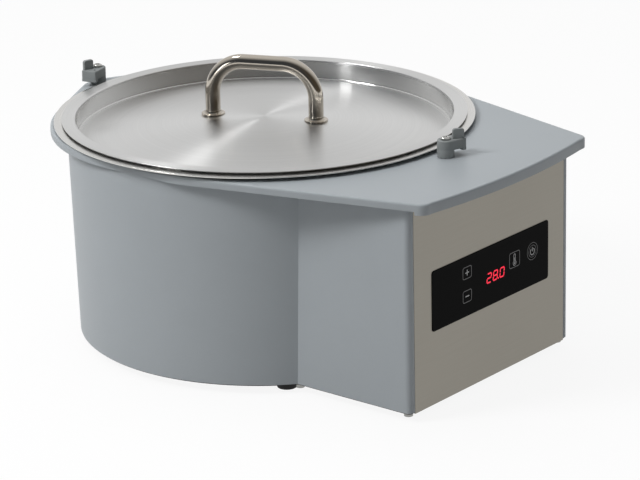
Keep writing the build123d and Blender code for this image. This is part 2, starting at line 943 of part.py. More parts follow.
with BuildPart() as board_spacers:
    with BuildSketch(level(base_top)):
        with Locations(*spacer_places):
            RegularPolygon(3.0, 6, major_radius=False)
            Circle(small_screw + running_gap, mode=Mode.SUBTRACT)
    extrude(amount=spacer_height)
save(board_spacers, "board_spacers")

with BuildPart() as power_board:
    with BuildSketch(level(board_level)):
        with Locations((0, power_board_middle)):
            Rectangle(2 * power_board_half_width, power_board_depth)
        with Locations(*spacer_places):
            Circle(small_screw + running_gap, mode=Mode.SUBTRACT)
    extrude(amount=circuit_board)
save(power_board, "power_board")

power_board_screws = screws(
    [at(x, y, board_top) for x, y in spacer_places],
    up,
    small_head,
    2.0,
    small_screw,
    circuit_board + spacer_height - 3.0,
)
save(power_board_screws, "power_board_screws")

transformer_place = (25.0, power_board_middle - 9.0)
relay_places = [(-29.0, power_board_middle - 9.0), (-12.0, power_board_middle - 9.0)]

with BuildPart() as transformer:
    with BuildSketch(level(board_top)):
        with Locations(transformer_place):
            Rectangle(44.0, 18.0)
    extrude(amount=30.0)
    with BuildSketch(level(board_top)):
        with Locations(transformer_place):
            RectangleRounded(28.0, 34.0, 4.0)
    extrude(amount=26.0)
save(transformer, "transformer")

with BuildPart() as relays:
    with BuildSketch(level(board_top)):
        with Locations(*relay_places):
            RectangleRounded(14.5, 26.0, 1.5)
    extrude(amount=16.0)
save(relays, "relays")

with BuildPart() as terminal_blocks:
    with BuildSketch(level(board_top)):
        with Locations(terminal_places[0]):
            Rectangle(terminal_width, terminal_depth)
        with Locations(terminal_places[1]):
            Rectangle(*mains_terminal)
    extrude(amount=terminal_height)
    with BuildSketch(level(board_top + terminal_height)):
        with Locations(terminal_places[0]):
            with GridLocations(10.0, 0, 7, 1):
                Circle(2.5)
        with Locations(terminal_places[1]):
            with GridLocations(0, 7.0, 1, 3):
                Circle(2.5)
    extrude(amount=-3.0, mode=Mode.SUBTRACT)
save(terminal_blocks, "terminal_blocks")

header_y = -(box_front - power_board_start - header_size[1] / 2 - 1.0)

with BuildPart() as cable_headers:
    with BuildSketch(level(board_top)):
        with Locations((ribbon_x, header_y)):
            Rectangle(*header_size)
    extrude(amount=header_height)
    with BuildSketch(front_plane(board_back)):
        with Locations((ribbon_x, ribbon_height)):
            Rectangle(header_size[0], header_size[1])
    extrude(amount=-(header_height - 4.0))
save(cable_headers, "cable_headers")

# A flat cable from the control board down to the power board
ribbon_start = -(board_back - header_height + 4.0)

with BuildPart() as ribbon_cable:
    with BuildLine(Plane(at(ribbon_x, 0, 0), x_dir=backward, z_dir=rightward)) as ribbon_path:
        Line((ribbon_start, ribbon_height), (ribbon_start + 0.5, ribbon_height))
        RadiusArc(
            (ribbon_start + 0.5, ribbon_height),
            (header_y, ribbon_height - (header_y - ribbon_start - 0.5)),
            header_y - ribbon_start - 0.5,
        )
        Line(
            (header_y, ribbon_height - (header_y - ribbon_start - 0.5)),
            (header_y, board_top + header_height),
        )
    with BuildSketch(Plane(ribbon_path.line @ 0, x_dir=rightward, z_dir=backward)):
        Rectangle(ribbon_width, ribbon_thickness)
    sweep()
save(ribbon_cable, "ribbon_cable")

# The power inlet, its pins and its screws
inlet_face = box_half_width + inlet_flange_thickness
recess_floor = inlet_face - inlet_recess_depth
pin_size = (2.0, 4.0)
pin_places = [(-7.0, -2.0), (7.0, -2.0), (0.0, 3.0)]
pin_reach = 11.4
tab_end = box_half_width - inlet_depth - 6.0

with BuildPart() as power_inlet:
    with BuildSketch(side_plane(box_half_width)):
        RectangleRounded(inlet_flange[0], inlet_flange[1], 4.0)
        with Locations((-inlet_screw_spread, 0), (inlet_screw_spread, 0)):
            Circle(small_screw + running_gap, mode=Mode.SUBTRACT)
    extrude(amount=inlet_flange_thickness)
    with BuildSketch(side_plane(box_half_width)):
        Rectangle(*inlet_body)
    extrude(amount=-inlet_depth)
    with BuildSketch(side_plane(inlet_face)):
        Rectangle(*inlet_recess)
    extrude(amount=-inlet_recess_depth, mode=Mode.SUBTRACT)
    with BuildSketch(side_plane(inlet_face)):
        with Locations(*pin_places):
            Rectangle(*pin_size)
    extrude(amount=-(inlet_flange_thickness + inlet_depth), mode=Mode.SUBTRACT)
save(power_inlet, "power_inlet")

with BuildPart() as inlet_pins:
    with BuildSketch(side_plane(tab_end)):
        with Locations(*pin_places):
            Rectangle(*pin_size)
    extrude(amount=recess_floor + pin_reach - tab_end)
save(inlet_pins, "inlet_pins")

inlet_screw_seats = [
    at(inlet_face, inlet_y + side * inlet_screw_spread, inlet_height) for side in (-1, 1)
]
inlet_screws = screws(
    inlet_screw_seats,
    rightward,
    small_head,
    1.8,
    small_screw,
    inlet_flange_thickness + shell_wall + 3.5,
)
save(inlet_screws, "inlet_screws")
inlet_nuts = nuts(
    [at(box_half_width - shell_wall, inlet_y + side * inlet_screw_spread, inlet_height) for side in (-1, 1)],
    (-1, 0, 0),
    2.75,
    2.4,
    small_screw + running_gap,
)
save(inlet_nuts, "inlet_nuts")

# Wires under the well and from the inlet
lead_radius = 1.5
lead_level = board_top + terminal_height / 2 - 0.8
low_lead_level = lead_level - 3.2
terminal_face = power_board_back
side_lead_x = 15.0
side_lead_radius = well_outer_radius + lead_radius + running_gap
side_lead_y = -sqrt(side_lead_radius**2 - side_lead_x**2)
heater_routes = [
    [at(x, base_lead_y, heater_bottom), at(x, base_lead_y, lead_level), at(x, terminal_face, lead_level)]
    for x in (-5.0, 5.0)
] + [
    [at(x, side_lead_y, heater_skirt), at(x, side_lead_y, lead_level), at(x, terminal_face, lead_level)]
    for x in (-side_lead_x, side_lead_x)
]
heater_leads = leads(heater_routes, lead_radius, 8.0)
save(heater_leads, "heater_leads")

probe_drop_y = -(sensor_opening - 10.0)
cutout_foot = well_bottom - cutout_cap_height - cutout_body_height
sensor_leads = leads(
    [
        [
            at(block_place[0] - 8.0, probe_drop_y, probe_height),
            at(block_place[0] - 8.0, probe_drop_y, lead_level),
            at(block_place[0] - 8.0, terminal_face, lead_level),
        ]
    ]
    + [
        [
            at(cutout_place[0] + side, 0, cutout_foot),
            at(cutout_place[0] + side, 0, low_lead_level),
            at(cutout_place[0] + side, terminal_face, low_lead_level),
        ]
        for side in (-4.0, 4.0)
    ],
    1.25,
    6.0,
)
save(sensor_leads, "sensor_leads")

mains_drop_x = (tab_end + power_board_half_width) / 2
mains_bend = min(6.0, 0.9 * (tab_end - mains_drop_x))
mains_leads = leads(
    [
        [
            at(tab_end, inlet_y + y, inlet_height + z),
            at(mains_drop_x, inlet_y + y, inlet_height + z),
            at(mains_drop_x, inlet_y + y, lead_level),
            at(power_board_half_width, inlet_y + y, lead_level),
        ]
        for y, z in pin_places
    ],
    lead_radius,
    mains_bend,
)
save(mains_leads, "mains_leads")

# The two turn clamps and their pivot screws
clamp_bottom = deck_top + turning_gap
clamp_head_seat = rim_top + clamp_top
arm_bottom = rim_top - clamp_arm_gap
toe_bottom = flange_top + clamp_toe_gap


def turn_clamp(place, angle):
    # A boss on the pivot, an arm with a toe at its end, and a raised tab for the finger.
    direction = (cos(radians(angle)), sin(radians(angle)), 0)

    def plane(height):
        return Plane(at(place[0], place[1], height), x_dir=direction, z_dir=up)

    with BuildPart() as made:
        with BuildSketch(plane(clamp_bottom)):
            Circle(clamp_boss)
        extrude(amount=clamp_head_seat - clamp_bottom)
        with BuildSketch(plane(arm_bottom)):
            with Locations((clamp_reach / 2, 0)):
                Rectangle(clamp_reach, 2 * clamp_boss)
        extrude(amount=clamp_head_seat - arm_bottom)
        with BuildSketch(plane(toe_bottom)):
            with Locations((clamp_reach - clamp_toe / 2, 0)):
                Rectangle(clamp_toe, 2 * clamp_boss)
        extrude(amount=arm_bottom - toe_bottom)
        fillet(made.faces().sort_by(Axis.Z)[-1].edges(), 1.2)
        with BuildSketch(plane(clamp_head_seat)):
            with Locations(Location(clamp_tab_place, clamp_tab_turn)):
                SlotOverall(clamp_tab_width, clamp_tab_thickness)
        extrude(amount=clamp_tab_height)
        with BuildSketch(plane(clamp_bottom)):
            Circle(clamp_screw_radius + running_gap)
        extrude(amount=clamp_head_seat - clamp_bottom, mode=Mode.SUBTRACT)
    return made


front_clamp = turn_clamp(clamp_places[0], front_clamp_angle)
save(front_clamp, "front_clamp")
rear_clamp = turn_clamp(clamp_places[1], rear_clamp_angle)
save(rear_clamp, "rear_clamp")

clamp_nut_height = 4.0
clamp_screws = screws(
    [at(x, y, clamp_head_seat + turning_gap) for x, y in clamp_places],
    up,
    clamp_head_radius,
    clamp_head_height,
    clamp_screw_radius,
    clamp_head_seat + turning_gap - deck_bottom + clamp_nut_height + 1.5,
)
save(clamp_screws, "clamp_screws")
clamp_nuts = nuts(
    [at(x, y, deck_bottom) for x, y in clamp_places],
    down,
    5.0,
    clamp_nut_height,
    clamp_screw_radius + running_gap,
)
save(clamp_nuts, "clamp_nuts")
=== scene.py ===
import json
import bpy
import numpy as np
from mathutils import Matrix, Vector


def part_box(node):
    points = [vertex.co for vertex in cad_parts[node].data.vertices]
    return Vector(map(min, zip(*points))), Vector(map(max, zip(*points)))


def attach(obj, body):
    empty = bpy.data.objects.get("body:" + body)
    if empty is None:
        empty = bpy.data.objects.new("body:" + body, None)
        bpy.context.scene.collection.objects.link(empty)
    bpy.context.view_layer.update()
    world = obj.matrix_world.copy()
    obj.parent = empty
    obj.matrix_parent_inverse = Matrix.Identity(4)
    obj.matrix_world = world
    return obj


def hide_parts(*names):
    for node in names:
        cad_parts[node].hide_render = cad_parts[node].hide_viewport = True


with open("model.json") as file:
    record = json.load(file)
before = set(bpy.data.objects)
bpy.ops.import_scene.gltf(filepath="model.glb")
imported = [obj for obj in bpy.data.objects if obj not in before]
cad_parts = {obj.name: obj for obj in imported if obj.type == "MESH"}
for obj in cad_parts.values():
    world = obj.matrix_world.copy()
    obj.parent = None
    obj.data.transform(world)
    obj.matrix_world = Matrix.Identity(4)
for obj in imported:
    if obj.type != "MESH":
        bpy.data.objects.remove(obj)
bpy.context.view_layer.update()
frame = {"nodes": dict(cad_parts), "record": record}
print("frame loaded:", len(frame["nodes"]), "nodes")

mm = 0.001          # shapes are worked out in millimetres and put down in metres


def boxOf(node):
    low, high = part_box(node)
    return np.array(low) / mm, np.array(high) / mm


tankLow, tankHigh = boxOf("tank")
panelLow, panelHigh = boxOf("front_panel")
filmLow, filmHigh = boxOf("membrane_keypad")
gasketLow, gasketHigh = boxOf("flange_gasket")
axisY = (tankLow[1] + tankHigh[1]) / 2      # the tank's upright axis is at x = 0, y = axisY
rimTop = boxOf("lid")[1][2]
rosetteTop = boxOf("handle_rosettes")[1][2]
deckTop = boxOf("top_deck")[1][2]
beadTop = tankHigh[2]
beadRise = 1.6                              # the tank's bead over its flange
flangeTop = beadTop - beadRise
flangeBottom = gasketHigh[2]


# Camera, with the photograph's direction, tilt and framing

camera = {
    "aim": (0.0, axisY, rimTop - 114.8),
    "distance": 3029.8,
    "back": (-0.72613, -0.60890, 0.31934),      # from the aim to the camera
    "roll": -1.4981,
    "lens": 181.9,
    "sensor": 36.0,
    "farthest": 50.0,                           # metres
    "picture": (640, 480),
    "middle": (267.492, 228.109),               # where the aim lies in the picture
}


def addCamera(c):
    back = Vector(c["back"]).normalized()
    right = Vector((-back.y, back.x, 0)).normalized()
    above = back.cross(right)
    roll = np.radians(c["roll"])
    across = right * np.cos(roll) + above * np.sin(roll)
    upward = above * np.cos(roll) - right * np.sin(roll)
    data = bpy.data.cameras.new("photoCamera")
    data.lens = c["lens"]
    data.sensor_width = c["sensor"]
    wide, high = c["picture"]
    data.shift_x = (wide / 2 - c["middle"][0]) / wide
    data.shift_y = (c["middle"][1] - high / 2) / wide
    data.clip_end = c["farthest"]
    eye = bpy.data.objects.new("photoCamera", data)
    turn = Matrix((across, upward, back)).transposed()
    place = (Vector(c["aim"]) + back * c["distance"]) * mm
    eye.matrix_world = Matrix.Translation(place) @ turn.to_4x4()
    bpy.context.scene.collection.objects.link(eye)
    bpy.context.scene.camera = eye


addCamera(camera)


# Shader maths: a wire carries one output, and sums on wires add their nodes

class Wire:
    def __init__(self, tree, socket=None):
        self.tree = tree
        self.socket = socket

    def node(self, kind, settings=None, inputs=None, out=0):
        made = self.tree.nodes.new("ShaderNode" + kind)
        for key, value in (settings or {}).items():
            setattr(made, key, value)
        for key, value in (inputs or {}).items():
            if isinstance(value, Wire):
                self.tree.links.new(value.socket, made.inputs[key])
            else:
                made.inputs[key].default_value = value
        return Wire(self.tree, made.outputs[out] if made.outputs else None)

    def maths(self, operation, first, second=0.0, clamp=False):
        settings = {"operation": operation, "use_clamp": clamp}
        return self.node("Math", settings, {0: first, 1: second})

    def __add__(self, other):
        return self.maths("ADD", self, other)

    __radd__ = __add__

    def __sub__(self, other):
        return self.maths("SUBTRACT", self, other)

    def __rsub__(self, other):
        return self.maths("SUBTRACT", other, self)

    def __mul__(self, other):
        return self.maths("MULTIPLY", self, other)

    __rmul__ = __mul__

    def clamped(self):
        return self.maths("ADD", self, 0.0, clamp=True)

    def spread(self, low, high):
        # From 0 at the low value to 1 at the high one, with soft ends.
        settings = {"interpolation_type": "SMOOTHSTEP"}
        return self.node("MapRange", settings, {0: self, 1: low, 2: high})

    def blend(self, first, second):
        # Colours only: this wire is the share of the second.
        first = first if isinstance(first, Wire) else (*first, 1.0)
        second = second if isinstance(second, Wire) else (*second, 1.0)
        settings = {"data_type": "RGBA"}
        return self.node("Mix", settings, {0: self, 6: first, 7: second}, out=2)

    def noise(self, scale, detail=2.0, rough=0.5):
        inputs = {"Vector": self, "Scale": scale, "Detail": detail, "Roughness": rough}
        return self.node("TexNoise", None, inputs)

    def stretched(self, scale, middle=(0, 0, 0)):
        # The same place, shifted to a new middle and then stretched.
        away = tuple(-m * s for m, s in zip(middle, scale))
        return self.node("Mapping", None, {"Vector": self, "Location": away, "Scale": scale})

    def parts(self):
        split = self.node("SeparateXYZ", None, {0: self})
        outputs = split.socket.node.outputs
        return [Wire(self.tree, outputs[k]) for k in range(3)]

    def joined(self, parts, scales):
        # Three wires as one place, each stretched by its own scale.
        inputs = {k: part * scale for k, (part, scale) in enumerate(zip(parts, scales))}
        return self.node("CombineXYZ", None, inputs)

    def grain(self, heights, strength, distance):
        # A bump node that feeds Normal, from heights; the distance is in metres.
        inputs = {"Height": heights, "Strength": strength, "Distance": distance}
        return self.node("Bump", None, inputs)


finishes = {}


def startFinish(name):
    made = bpy.data.materials.new(name)
    made.use_nodes = True
    made.node_tree.nodes.clear()
    finishes[name] = made
    start = Wire(made.node_tree)
    return start, start.node("TexCoord", out=3)


def endFinish(start, inputs):
    shader = start.node("BsdfPrincipled", None, inputs)
    start.node("OutputMaterial", None, {"Surface": shader})


def fromEight(red, green, blue):
    # A colour as a picture shows it, 0 to 255, made the light it stands for.
    shown = np.array((red, green, blue)) / 255
    light = np.where(shown < 0.04045, shown / 12.92, ((shown + 0.055) / 1.055) ** 2.4)
    return tuple(float(v) for v in light)


turnedLines = {"turned": True, "fine": (900, 300, 4), "wide": (120, 60, 3)}
sheetLines = {"turned": False, "fine": (12, 12, 1400), "wide": (5, 5, 240)}
steelLooks = {
    "tankSteel": {"colour": fromEight(232, 231, 228), "rough": 0.26, "aniso": 0.55, "bump": 0.02,
                  **turnedLines},
    "lidSteel": {"colour": fromEight(228, 228, 227), "rough": 0.31, "aniso": 0.9, "bump": 0.05,
                 **turnedLines, "wall": (171.0, rimTop - 2.0), "polish": 0.14},
    "panelSteel": {"colour": fromEight(146, 142, 133), "rough": 0.4, "aniso": 0.4, "bump": 0.05,
                   **sheetLines},
}


def makeSteel(name, s):
    # Turned steel has fine rings round the tank's axis, and sheet steel lines along x. Wide
    # soft clouds vary its shine, and a few fine scratches run along the lines.
    start, place = startFinish(name)
    centred = place.stretched((1, 1, 1), (0, axisY * mm, 0))
    x, y, z = centred.parts()
    if s["turned"]:
        reach = start.maths("SQRT", x * x + y * y)
        along, beside = (reach, z, x), (reach, z, y)
    else:
        along = beside = (x, y, z)
    fine = start.joined(along, s["fine"]).noise(1.0, 3.0, 0.7)
    bands = start.joined(beside, s["wide"]).noise(1.0, 2.0, 0.6)
    clouds = centred.noise(9.0, 3.0, 0.55)
    lines = fine.spread(0.3, 0.7)
    tone = (0.55 * lines + 0.45 * bands).clamped()
    dark = tuple(0.9 * c for c in s["colour"])
    rough = s["rough"] + 0.07 * (clouds - 0.5) + 0.05 * (bands - 0.5) + 0.03 * (lines - 0.5)
    if "wall" in s:
        # The lid's drawn wall stays smoother than its brushed floor and rim.
        inner, under = s["wall"]
        wall = reach.spread(inner * mm, (inner + 1) * mm)
        wall = wall * (1 - z.spread((under - 1) * mm, under * mm))
        rough = rough - s["polish"] * wall
    endFinish(start, {
        "Base Color": tone.blend(dark, s["colour"]),
        "Metallic": 1.0,
        "Roughness": rough,
        "Anisotropic": s["aniso"],
        "Anisotropic Rotation": 0.25 if s["turned"] else 0.0,
        "Normal": start.grain(lines, s["bump"], 0.0002),
    })


brightLooks = {         # colour, roughness, metal
    # barSteel: the steel's own colour plus a painted reflection; its warm tint stands in for the
    # brown surroundings the bar mirrors
    "barSteel": ((204, 196, 184), 0.12, 1.0),
    "screwSteel": ((196, 196, 193), 0.24, 1.0),
    "darkScrew": ((160, 160, 157), 0.42, 1.0),
    "wellAluminium": ((205, 207, 210), 0.36, 1.0),
    "brass": ((214, 180, 112), 0.3, 1.0),
    "coreIron": ((96, 96, 98), 0.5, 0.8),
}


def makeBright(name, s):
    # Drawn or polished metal: faint clouding in its shine and fine random scuffs.
    eight, rough, metal = s
    colour = fromEight(*eight)
    start, place = startFinish(name)
    clouds = place.noise(40.0, 3.0, 0.6)
    scuffs = place.stretched((900, 900, 300)).noise(1.0, 2.0, 0.7)
    dark = tuple(0.86 * c for c in colour)
    endFinish(start, {
        "Base Color": (0.6 * clouds + 0.4 * scuffs).blend(dark, colour),
        "Metallic": metal,
        "Roughness": rough + 0.06 * (clouds - 0.5) + 0.05 * (scuffs - 0.5),
        "Normal": start.grain(scuffs, 0.06, 0.0001),
    })


mouldedLooks = {        # colour, roughness, grain, its depth, gloss
    "deckGrey": ((170, 176, 180), 0.42, 1300, 0.10, 0.4),
    "shellGrey": ((174, 180, 184), 0.45, 1100, 0.12, 0.4),
    "clampGrey": ((138, 142, 142), 0.5, 1600, 0.12, 0.4),
    "gasketRubber": ((44, 44, 45), 0.6, 1800, 0.15, 0.4),
    "footRubber": ((38, 38, 38), 0.7, 1500, 0.2, 0.4),
    "membraneFilm": ((7, 7, 7), 0.4, 2600, 0.04, 0.02),
    "blackMoulding": ((32, 32, 34), 0.45, 1500, 0.15, 0.4),
    "terminalGrey": ((150, 152, 150), 0.5, 1500, 0.1, 0.4),
    # baseSteel: the base plate's own dark paint, darkened further as painted shade so its edge
    # shows as the shadow gap under the housing
    "baseSteel": ((30, 31, 32), 0.5, 900, 0.15, 0.4),
    "heaterSilicone": ((186, 92, 58), 0.55, 700, 0.25, 0.4),
    "wireSleeve": ((196, 190, 178), 0.55, 900, 0.2, 0.4),
}


def makeMoulded(name, s):
    # Moulded plastic or rubber: a fine eroded grain, wide faint clouding, and a slightly
    # paler tone where the grain stands up.
    eight, rough, grain, depth, gloss = s
    colour = fromEight(*eight)
    start, place = startFinish(name)
    pits = place.noise(grain, 2.0, 0.6)
    clouds = place.noise(14.0, 3.0, 0.5)
    tone = (0.5 * pits + 0.5 * clouds).clamped()
    dark = tuple(0.92 * c for c in colour)
    light = tuple(min(1.0, 1.05 * c) for c in colour)
    endFinish(start, {
        "Base Color": tone.blend(dark, light),
        "Roughness": rough + 0.12 * (pits - 0.5) + 0.06 * (clouds - 0.5),
        "Specular IOR Level": gloss,
        "Normal": start.grain(pits, depth, 0.0003),
    })


woolLook = {
    "colour": fromEight(206, 192, 150), "dark": fromEight(148, 132, 92),
    "across": 500, "along": 75, "up": 200,
}


def makeWool(name, s):
    # Tangled fibres: two stretched noises crossed, deep and soft.
    start, place = startFinish(name)
    first = place.stretched((s["across"], s["along"], s["up"])).noise(1.0, 4.0, 0.7)
    second = place.stretched((s["along"], s["across"], s["up"])).noise(1.0, 4.0, 0.7)
    tangle = (first * 0.5 + second * 0.5).spread(0.3, 0.7)
    endFinish(start, {
        "Base Color": tangle.blend(s["dark"], s["colour"]),
        "Roughness": 0.9 + 0.1 * tangle,
        "Normal": start.grain(tangle, 0.7, 0.001),
    })


boardLook = {"mask": fromEight(26, 84, 52), "track": fromEight(48, 118, 72), "cells": 320}


def makeBoard(name, s):
    # Solder mask over copper: the borders between Voronoi cells stand for the tracks.
    start, place = startFinish(name)
    settings = {"feature": "DISTANCE_TO_EDGE"}
    cells = place.node("TexVoronoi", settings, {"Vector": place, "Scale": s["cells"]})
    tracks = 1 - cells.spread(0.02, 0.08)
    clouds = place.noise(60.0)
    endFinish(start, {
        "Base Color": (tracks * 0.7 + clouds * 0.15).clamped().blend(s["mask"], s["track"]),
        "Roughness": 0.32 + 0.1 * clouds,
        "Normal": start.grain(tracks, 0.2, 0.0001),
    })


printLooks = {
    "keyPrint": {"colour": fromEight(112, 112, 112), "glow": 0.0},
    "signPrint": {"colour": fromEight(214, 214, 214), "glow": 0.0},
    "digitGlow": {"colour": fromEight(255, 28, 62), "glow": 0.9},
}


def makePrint(name, s):
    # Screen ink or lit segments, a little uneven from grain to grain.
    start, place = startFinish(name)
    grains = place.noise(1800.0, 2.0, 0.6)
    dark = tuple(0.8 * c for c in s["colour"])
    ink = grains.blend(dark, s["colour"])
    inputs = {"Base Color": ink, "Roughness": 0.4 + 0.1 * grains}
    if s["glow"]:
        inputs["Emission Color"] = ink
        inputs["Emission Strength"] = s["glow"]
    endFinish(start, inputs)


for make, looks in (
    (makeSteel, steelLooks), (makeBright, brightLooks), (makeMoulded, mouldedLooks),
    (makeWool, {"mineralWool": woolLook}), (makeBoard, {"boardGreen": boardLook}),
    (makePrint, printLooks),
):
    for name, look in looks.items():
        make(name, look)
print("finishes made:", len(finishes))


def finishOf(slot, own=None):
    # A finish goes by its slot's name, written together, unless a piece has one of its own.
    first, *rest = slot.split("_")
    return finishes[own or first + "".join(word.capitalize() for word in rest)]


# Shapes: grids of points become skins, and skins become pieces

def skin(grid, wrapRows=False, caps=True):
    # Four-sided faces between neighbouring rows and columns; the columns always wrap round.
    # Where rows don't, a fan from the middle of the first and the last row closes the ends.
    rows, cols = grid.shape[:2]
    ids = np.arange(rows * cols).reshape(rows, cols)
    below = ids if wrapRows else ids[:-1]
    over = np.roll(ids, -1, 0) if wrapRows else ids[1:]
    quads = np.stack((below, np.roll(below, -1, 1), np.roll(over, -1, 1), over), -1)
    points = grid.reshape(-1, 3)
    faces = quads.reshape(-1, 4).tolist()
    if caps and not wrapRows:
        middles = np.stack((grid[0].mean(0), grid[-1].mean(0)))
        points = np.vstack((points, middles))
        first, last = rows * cols, rows * cols + 1
        start = np.stack((np.roll(ids[0], -1), ids[0], np.full(cols, first)), -1)
        end = np.stack((ids[-1], np.roll(ids[-1], -1), np.full(cols, last)), -1)
        faces += start.tolist() + end.tolist()
    return outward(points, faces)


def outward(points, faces):
    # The volume as a sum of corner pyramids: where it is negative, every face turns round.
    threes = [(f[0], f[k], f[k + 1]) for f in faces for k in range(1, len(f) - 1)]
    corner = points[np.array(threes)]
    volume = np.einsum("ij,ij->i", corner[:, 0], np.cross(corner[:, 1], corner[:, 2])).sum()
    return points, [f[::-1] for f in faces] if volume < 0 else faces


def addPiece(name, skins, body, slot, stands=(), finish=None, sharp=32):
    points = np.vstack([s[0] for s in skins])
    steps = np.cumsum([0] + [len(s[0]) for s in skins])
    faces = [[v + step for v in f] for s, step in zip(skins, steps) for f in s[1]]
    mesh = bpy.data.meshes.new(name)
    mesh.from_pydata((points * mm).tolist(), [], faces)
    mesh.validate()
    mesh.shade_smooth()
    mesh.set_sharp_from_angle(angle=np.radians(sharp))
    mesh.materials.append(finishOf(slot, finish))
    made = bpy.data.objects.new(name, mesh)
    bpy.context.scene.collection.objects.link(made)
    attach(made, body)
    if stands:
        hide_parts(*stands)
    print("piece", name, len(faces), "faces")


def rounded(corners, radii, steps=6, loop=True):
    # Each corner becomes an arc that touches both of its runs, with one more point a little
    # way along each run so that the flat beside it stays flat when smoothed.
    corners = np.array(corners, float)
    count = len(corners)
    line = []
    for k, radius in enumerate(radii):
        here = corners[k]
        if radius == 0 or (not loop and k in (0, count - 1)):
            line.append(here[None])
            continue
        back, on = corners[k - 1] - here, corners[(k + 1) % count] - here
        backLength, onLength = np.linalg.norm(back), np.linalg.norm(on)
        back, on = back / backLength, on / onLength
        half = np.arccos(np.clip(back @ on, -1, 1)) / 2
        reach = min(radius / np.tan(half), 0.9 * backLength, 0.9 * onLength)
        radius = reach * np.tan(half)
        middle = here + (back + on) / np.linalg.norm(back + on) * radius / np.sin(half)
        start, end = here + back * reach - middle, here + on * reach - middle
        first = np.arctan2(start[1], start[0])
        sweep = (np.arctan2(end[1], end[0]) - first + np.pi) % (2 * np.pi) - np.pi
        turn = first + sweep * np.linspace(0, 1, steps + 1)
        arc = middle + radius * np.stack((np.cos(turn), np.sin(turn)), -1)
        beside = [reach + min(0.4 * radius, 0.2 * max(length - 2 * reach, 0.05))
                  for length in (backLength, onLength)]
        line.append(np.vstack((here + back * beside[0], arc, here + on * beside[1])))
    return np.vstack(line)


def spun(profile, loop=False, middle=None, steps=144):
    # Each profile point (radius, height) goes once round an upright axis.
    cx, cy = (0.0, axisY) if middle is None else middle
    turn = np.linspace(0, 2 * np.pi, steps, endpoint=False)
    radius, height = np.array(profile).T[:, :, None]
    grid = np.stack((
        cx + radius * np.cos(turn),
        cy + radius * np.sin(turn),
        height + 0 * turn,
    ), -1)
    return skin(grid, wrapRows=loop)


def inwardNormals(outline):
    # At right angles to the line from the point before to the point after, to the inside of
    # an outline that runs anticlockwise.
    along = np.roll(outline, -1, 0) - np.roll(outline, 1, 0)
    along /= np.linalg.norm(along, axis=1)[:, None]
    return np.stack((-along[:, 1], along[:, 0]), -1)


def upright(outline, height):
    # A flat outline lifted to a height, which is one number or one for each point.
    return np.column_stack((outline, np.broadcast_to(height, len(outline))))


def slab(outline, bottom, top, edge, steps=4):
    # An outline carried straight up, its upper and lower edges rounded by pulling it in.
    inward = inwardNormals(outline)
    turn = np.linspace(0, np.pi / 2, steps + 1)
    pulls = edge * (1 - np.sin(turn))
    rises = edge * (1 - np.cos(turn))
    lower = [upright(outline + inward * p, bottom + r) for p, r in zip(pulls, rises)]
    upper = [upright(outline + inward * p, top - r) for p, r in zip(pulls[::-1], rises[::-1])]
    flat = outline + inward * (edge * 1.5)      # keeps both end faces flat when smoothed
    return np.stack([upright(flat, bottom)] + lower + upper + [upright(flat, top)])


def facing(grid, front):
    # A shape drawn flat, x across and y up, stood on edge: its thickness goes from front
    # towards -y.
    return np.stack((grid[..., 0], front - grid[..., 2], grid[..., 1]), -1)


def sideways(grid, side):
    # The same for the right-hand side: drawn x goes to +y, and the thickness to +x.
    return np.stack((side + grid[..., 2], grid[..., 0], grid[..., 1]), -1)


def boxOutline(width, height, radius, middle=(0, 0), steps=6):
    w, h = width / 2, height / 2
    corners = [(-w, -h), (w, -h), (w, h), (-w, h)]
    return rounded(corners, [radius] * 4, steps) + np.array(middle)


def ringOutline(radius, middle=(0, 0), steps=48, squash=1.0):
    turn = np.linspace(0, 2 * np.pi, steps, endpoint=False)
    return np.stack((radius * np.cos(turn), squash * radius * np.sin(turn)), -1) + np.array(middle)


# The tank: deep wall, shoulder, collar, rolled bead and flat flange

tankShape = {
    "outside": [
        (6, 47), (158, 47), (161, 181.4), (177.5, 190.4), (177.5, flangeBottom),
        (195, flangeBottom), (195, flangeTop),
    ],
    "outsideRounds": [0, 25, 7, 7, 2.0, 0.35, 0.45],
    "bead": [(180.9, flangeTop), (180.4, beadTop), (176.5, beadTop)],
    "beadRounds": [0.5, 1.15, 1.35],
    "inside": [(176.5, 190.9), (160, 181.9), (157, 48), (6, 48)],
    "insideRounds": [6, 7, 24, 0],
}


def tankProfile(s):
    corners = s["outside"] + s["bead"] + s["inside"]
    return rounded(corners, s["outsideRounds"] + s["beadRounds"] + s["insideRounds"], 8, loop=False)


addPiece("tankPan", [spun(tankProfile(tankShape), steps=192)], "tank", "tank_steel", ["tank"])


# The lid: flat rim, steep wall, gutter and a shallow dome

lidShape = {
    "rim": 187.8, "rimRound": 0.46, "mouthRound": 1.3, "footRound": 1.1, "underRound": 0.6,
    "wallTop": 175.0, "wallFoot": 174.2, "gutter": 170.6, "gutterRound": 0.9, "sheet": 1.0,
    "depth": 18.0, "domeRise": 13.0, "domeStart": 4.0, "domeGap": 1.4, "domeRings": 26,
}
domeTop = rimTop - lidShape["depth"] + lidShape["domeRise"]
domeRadius = (lidShape["gutter"] ** 2 + lidShape["domeRise"] ** 2) / (2 * lidShape["domeRise"])


def domeHeight(reach):
    # A sphere's cap: height = middle height - R + sqrt(R^2 - reach^2).
    return domeTop - domeRadius + np.sqrt(domeRadius ** 2 - np.array(reach) ** 2)


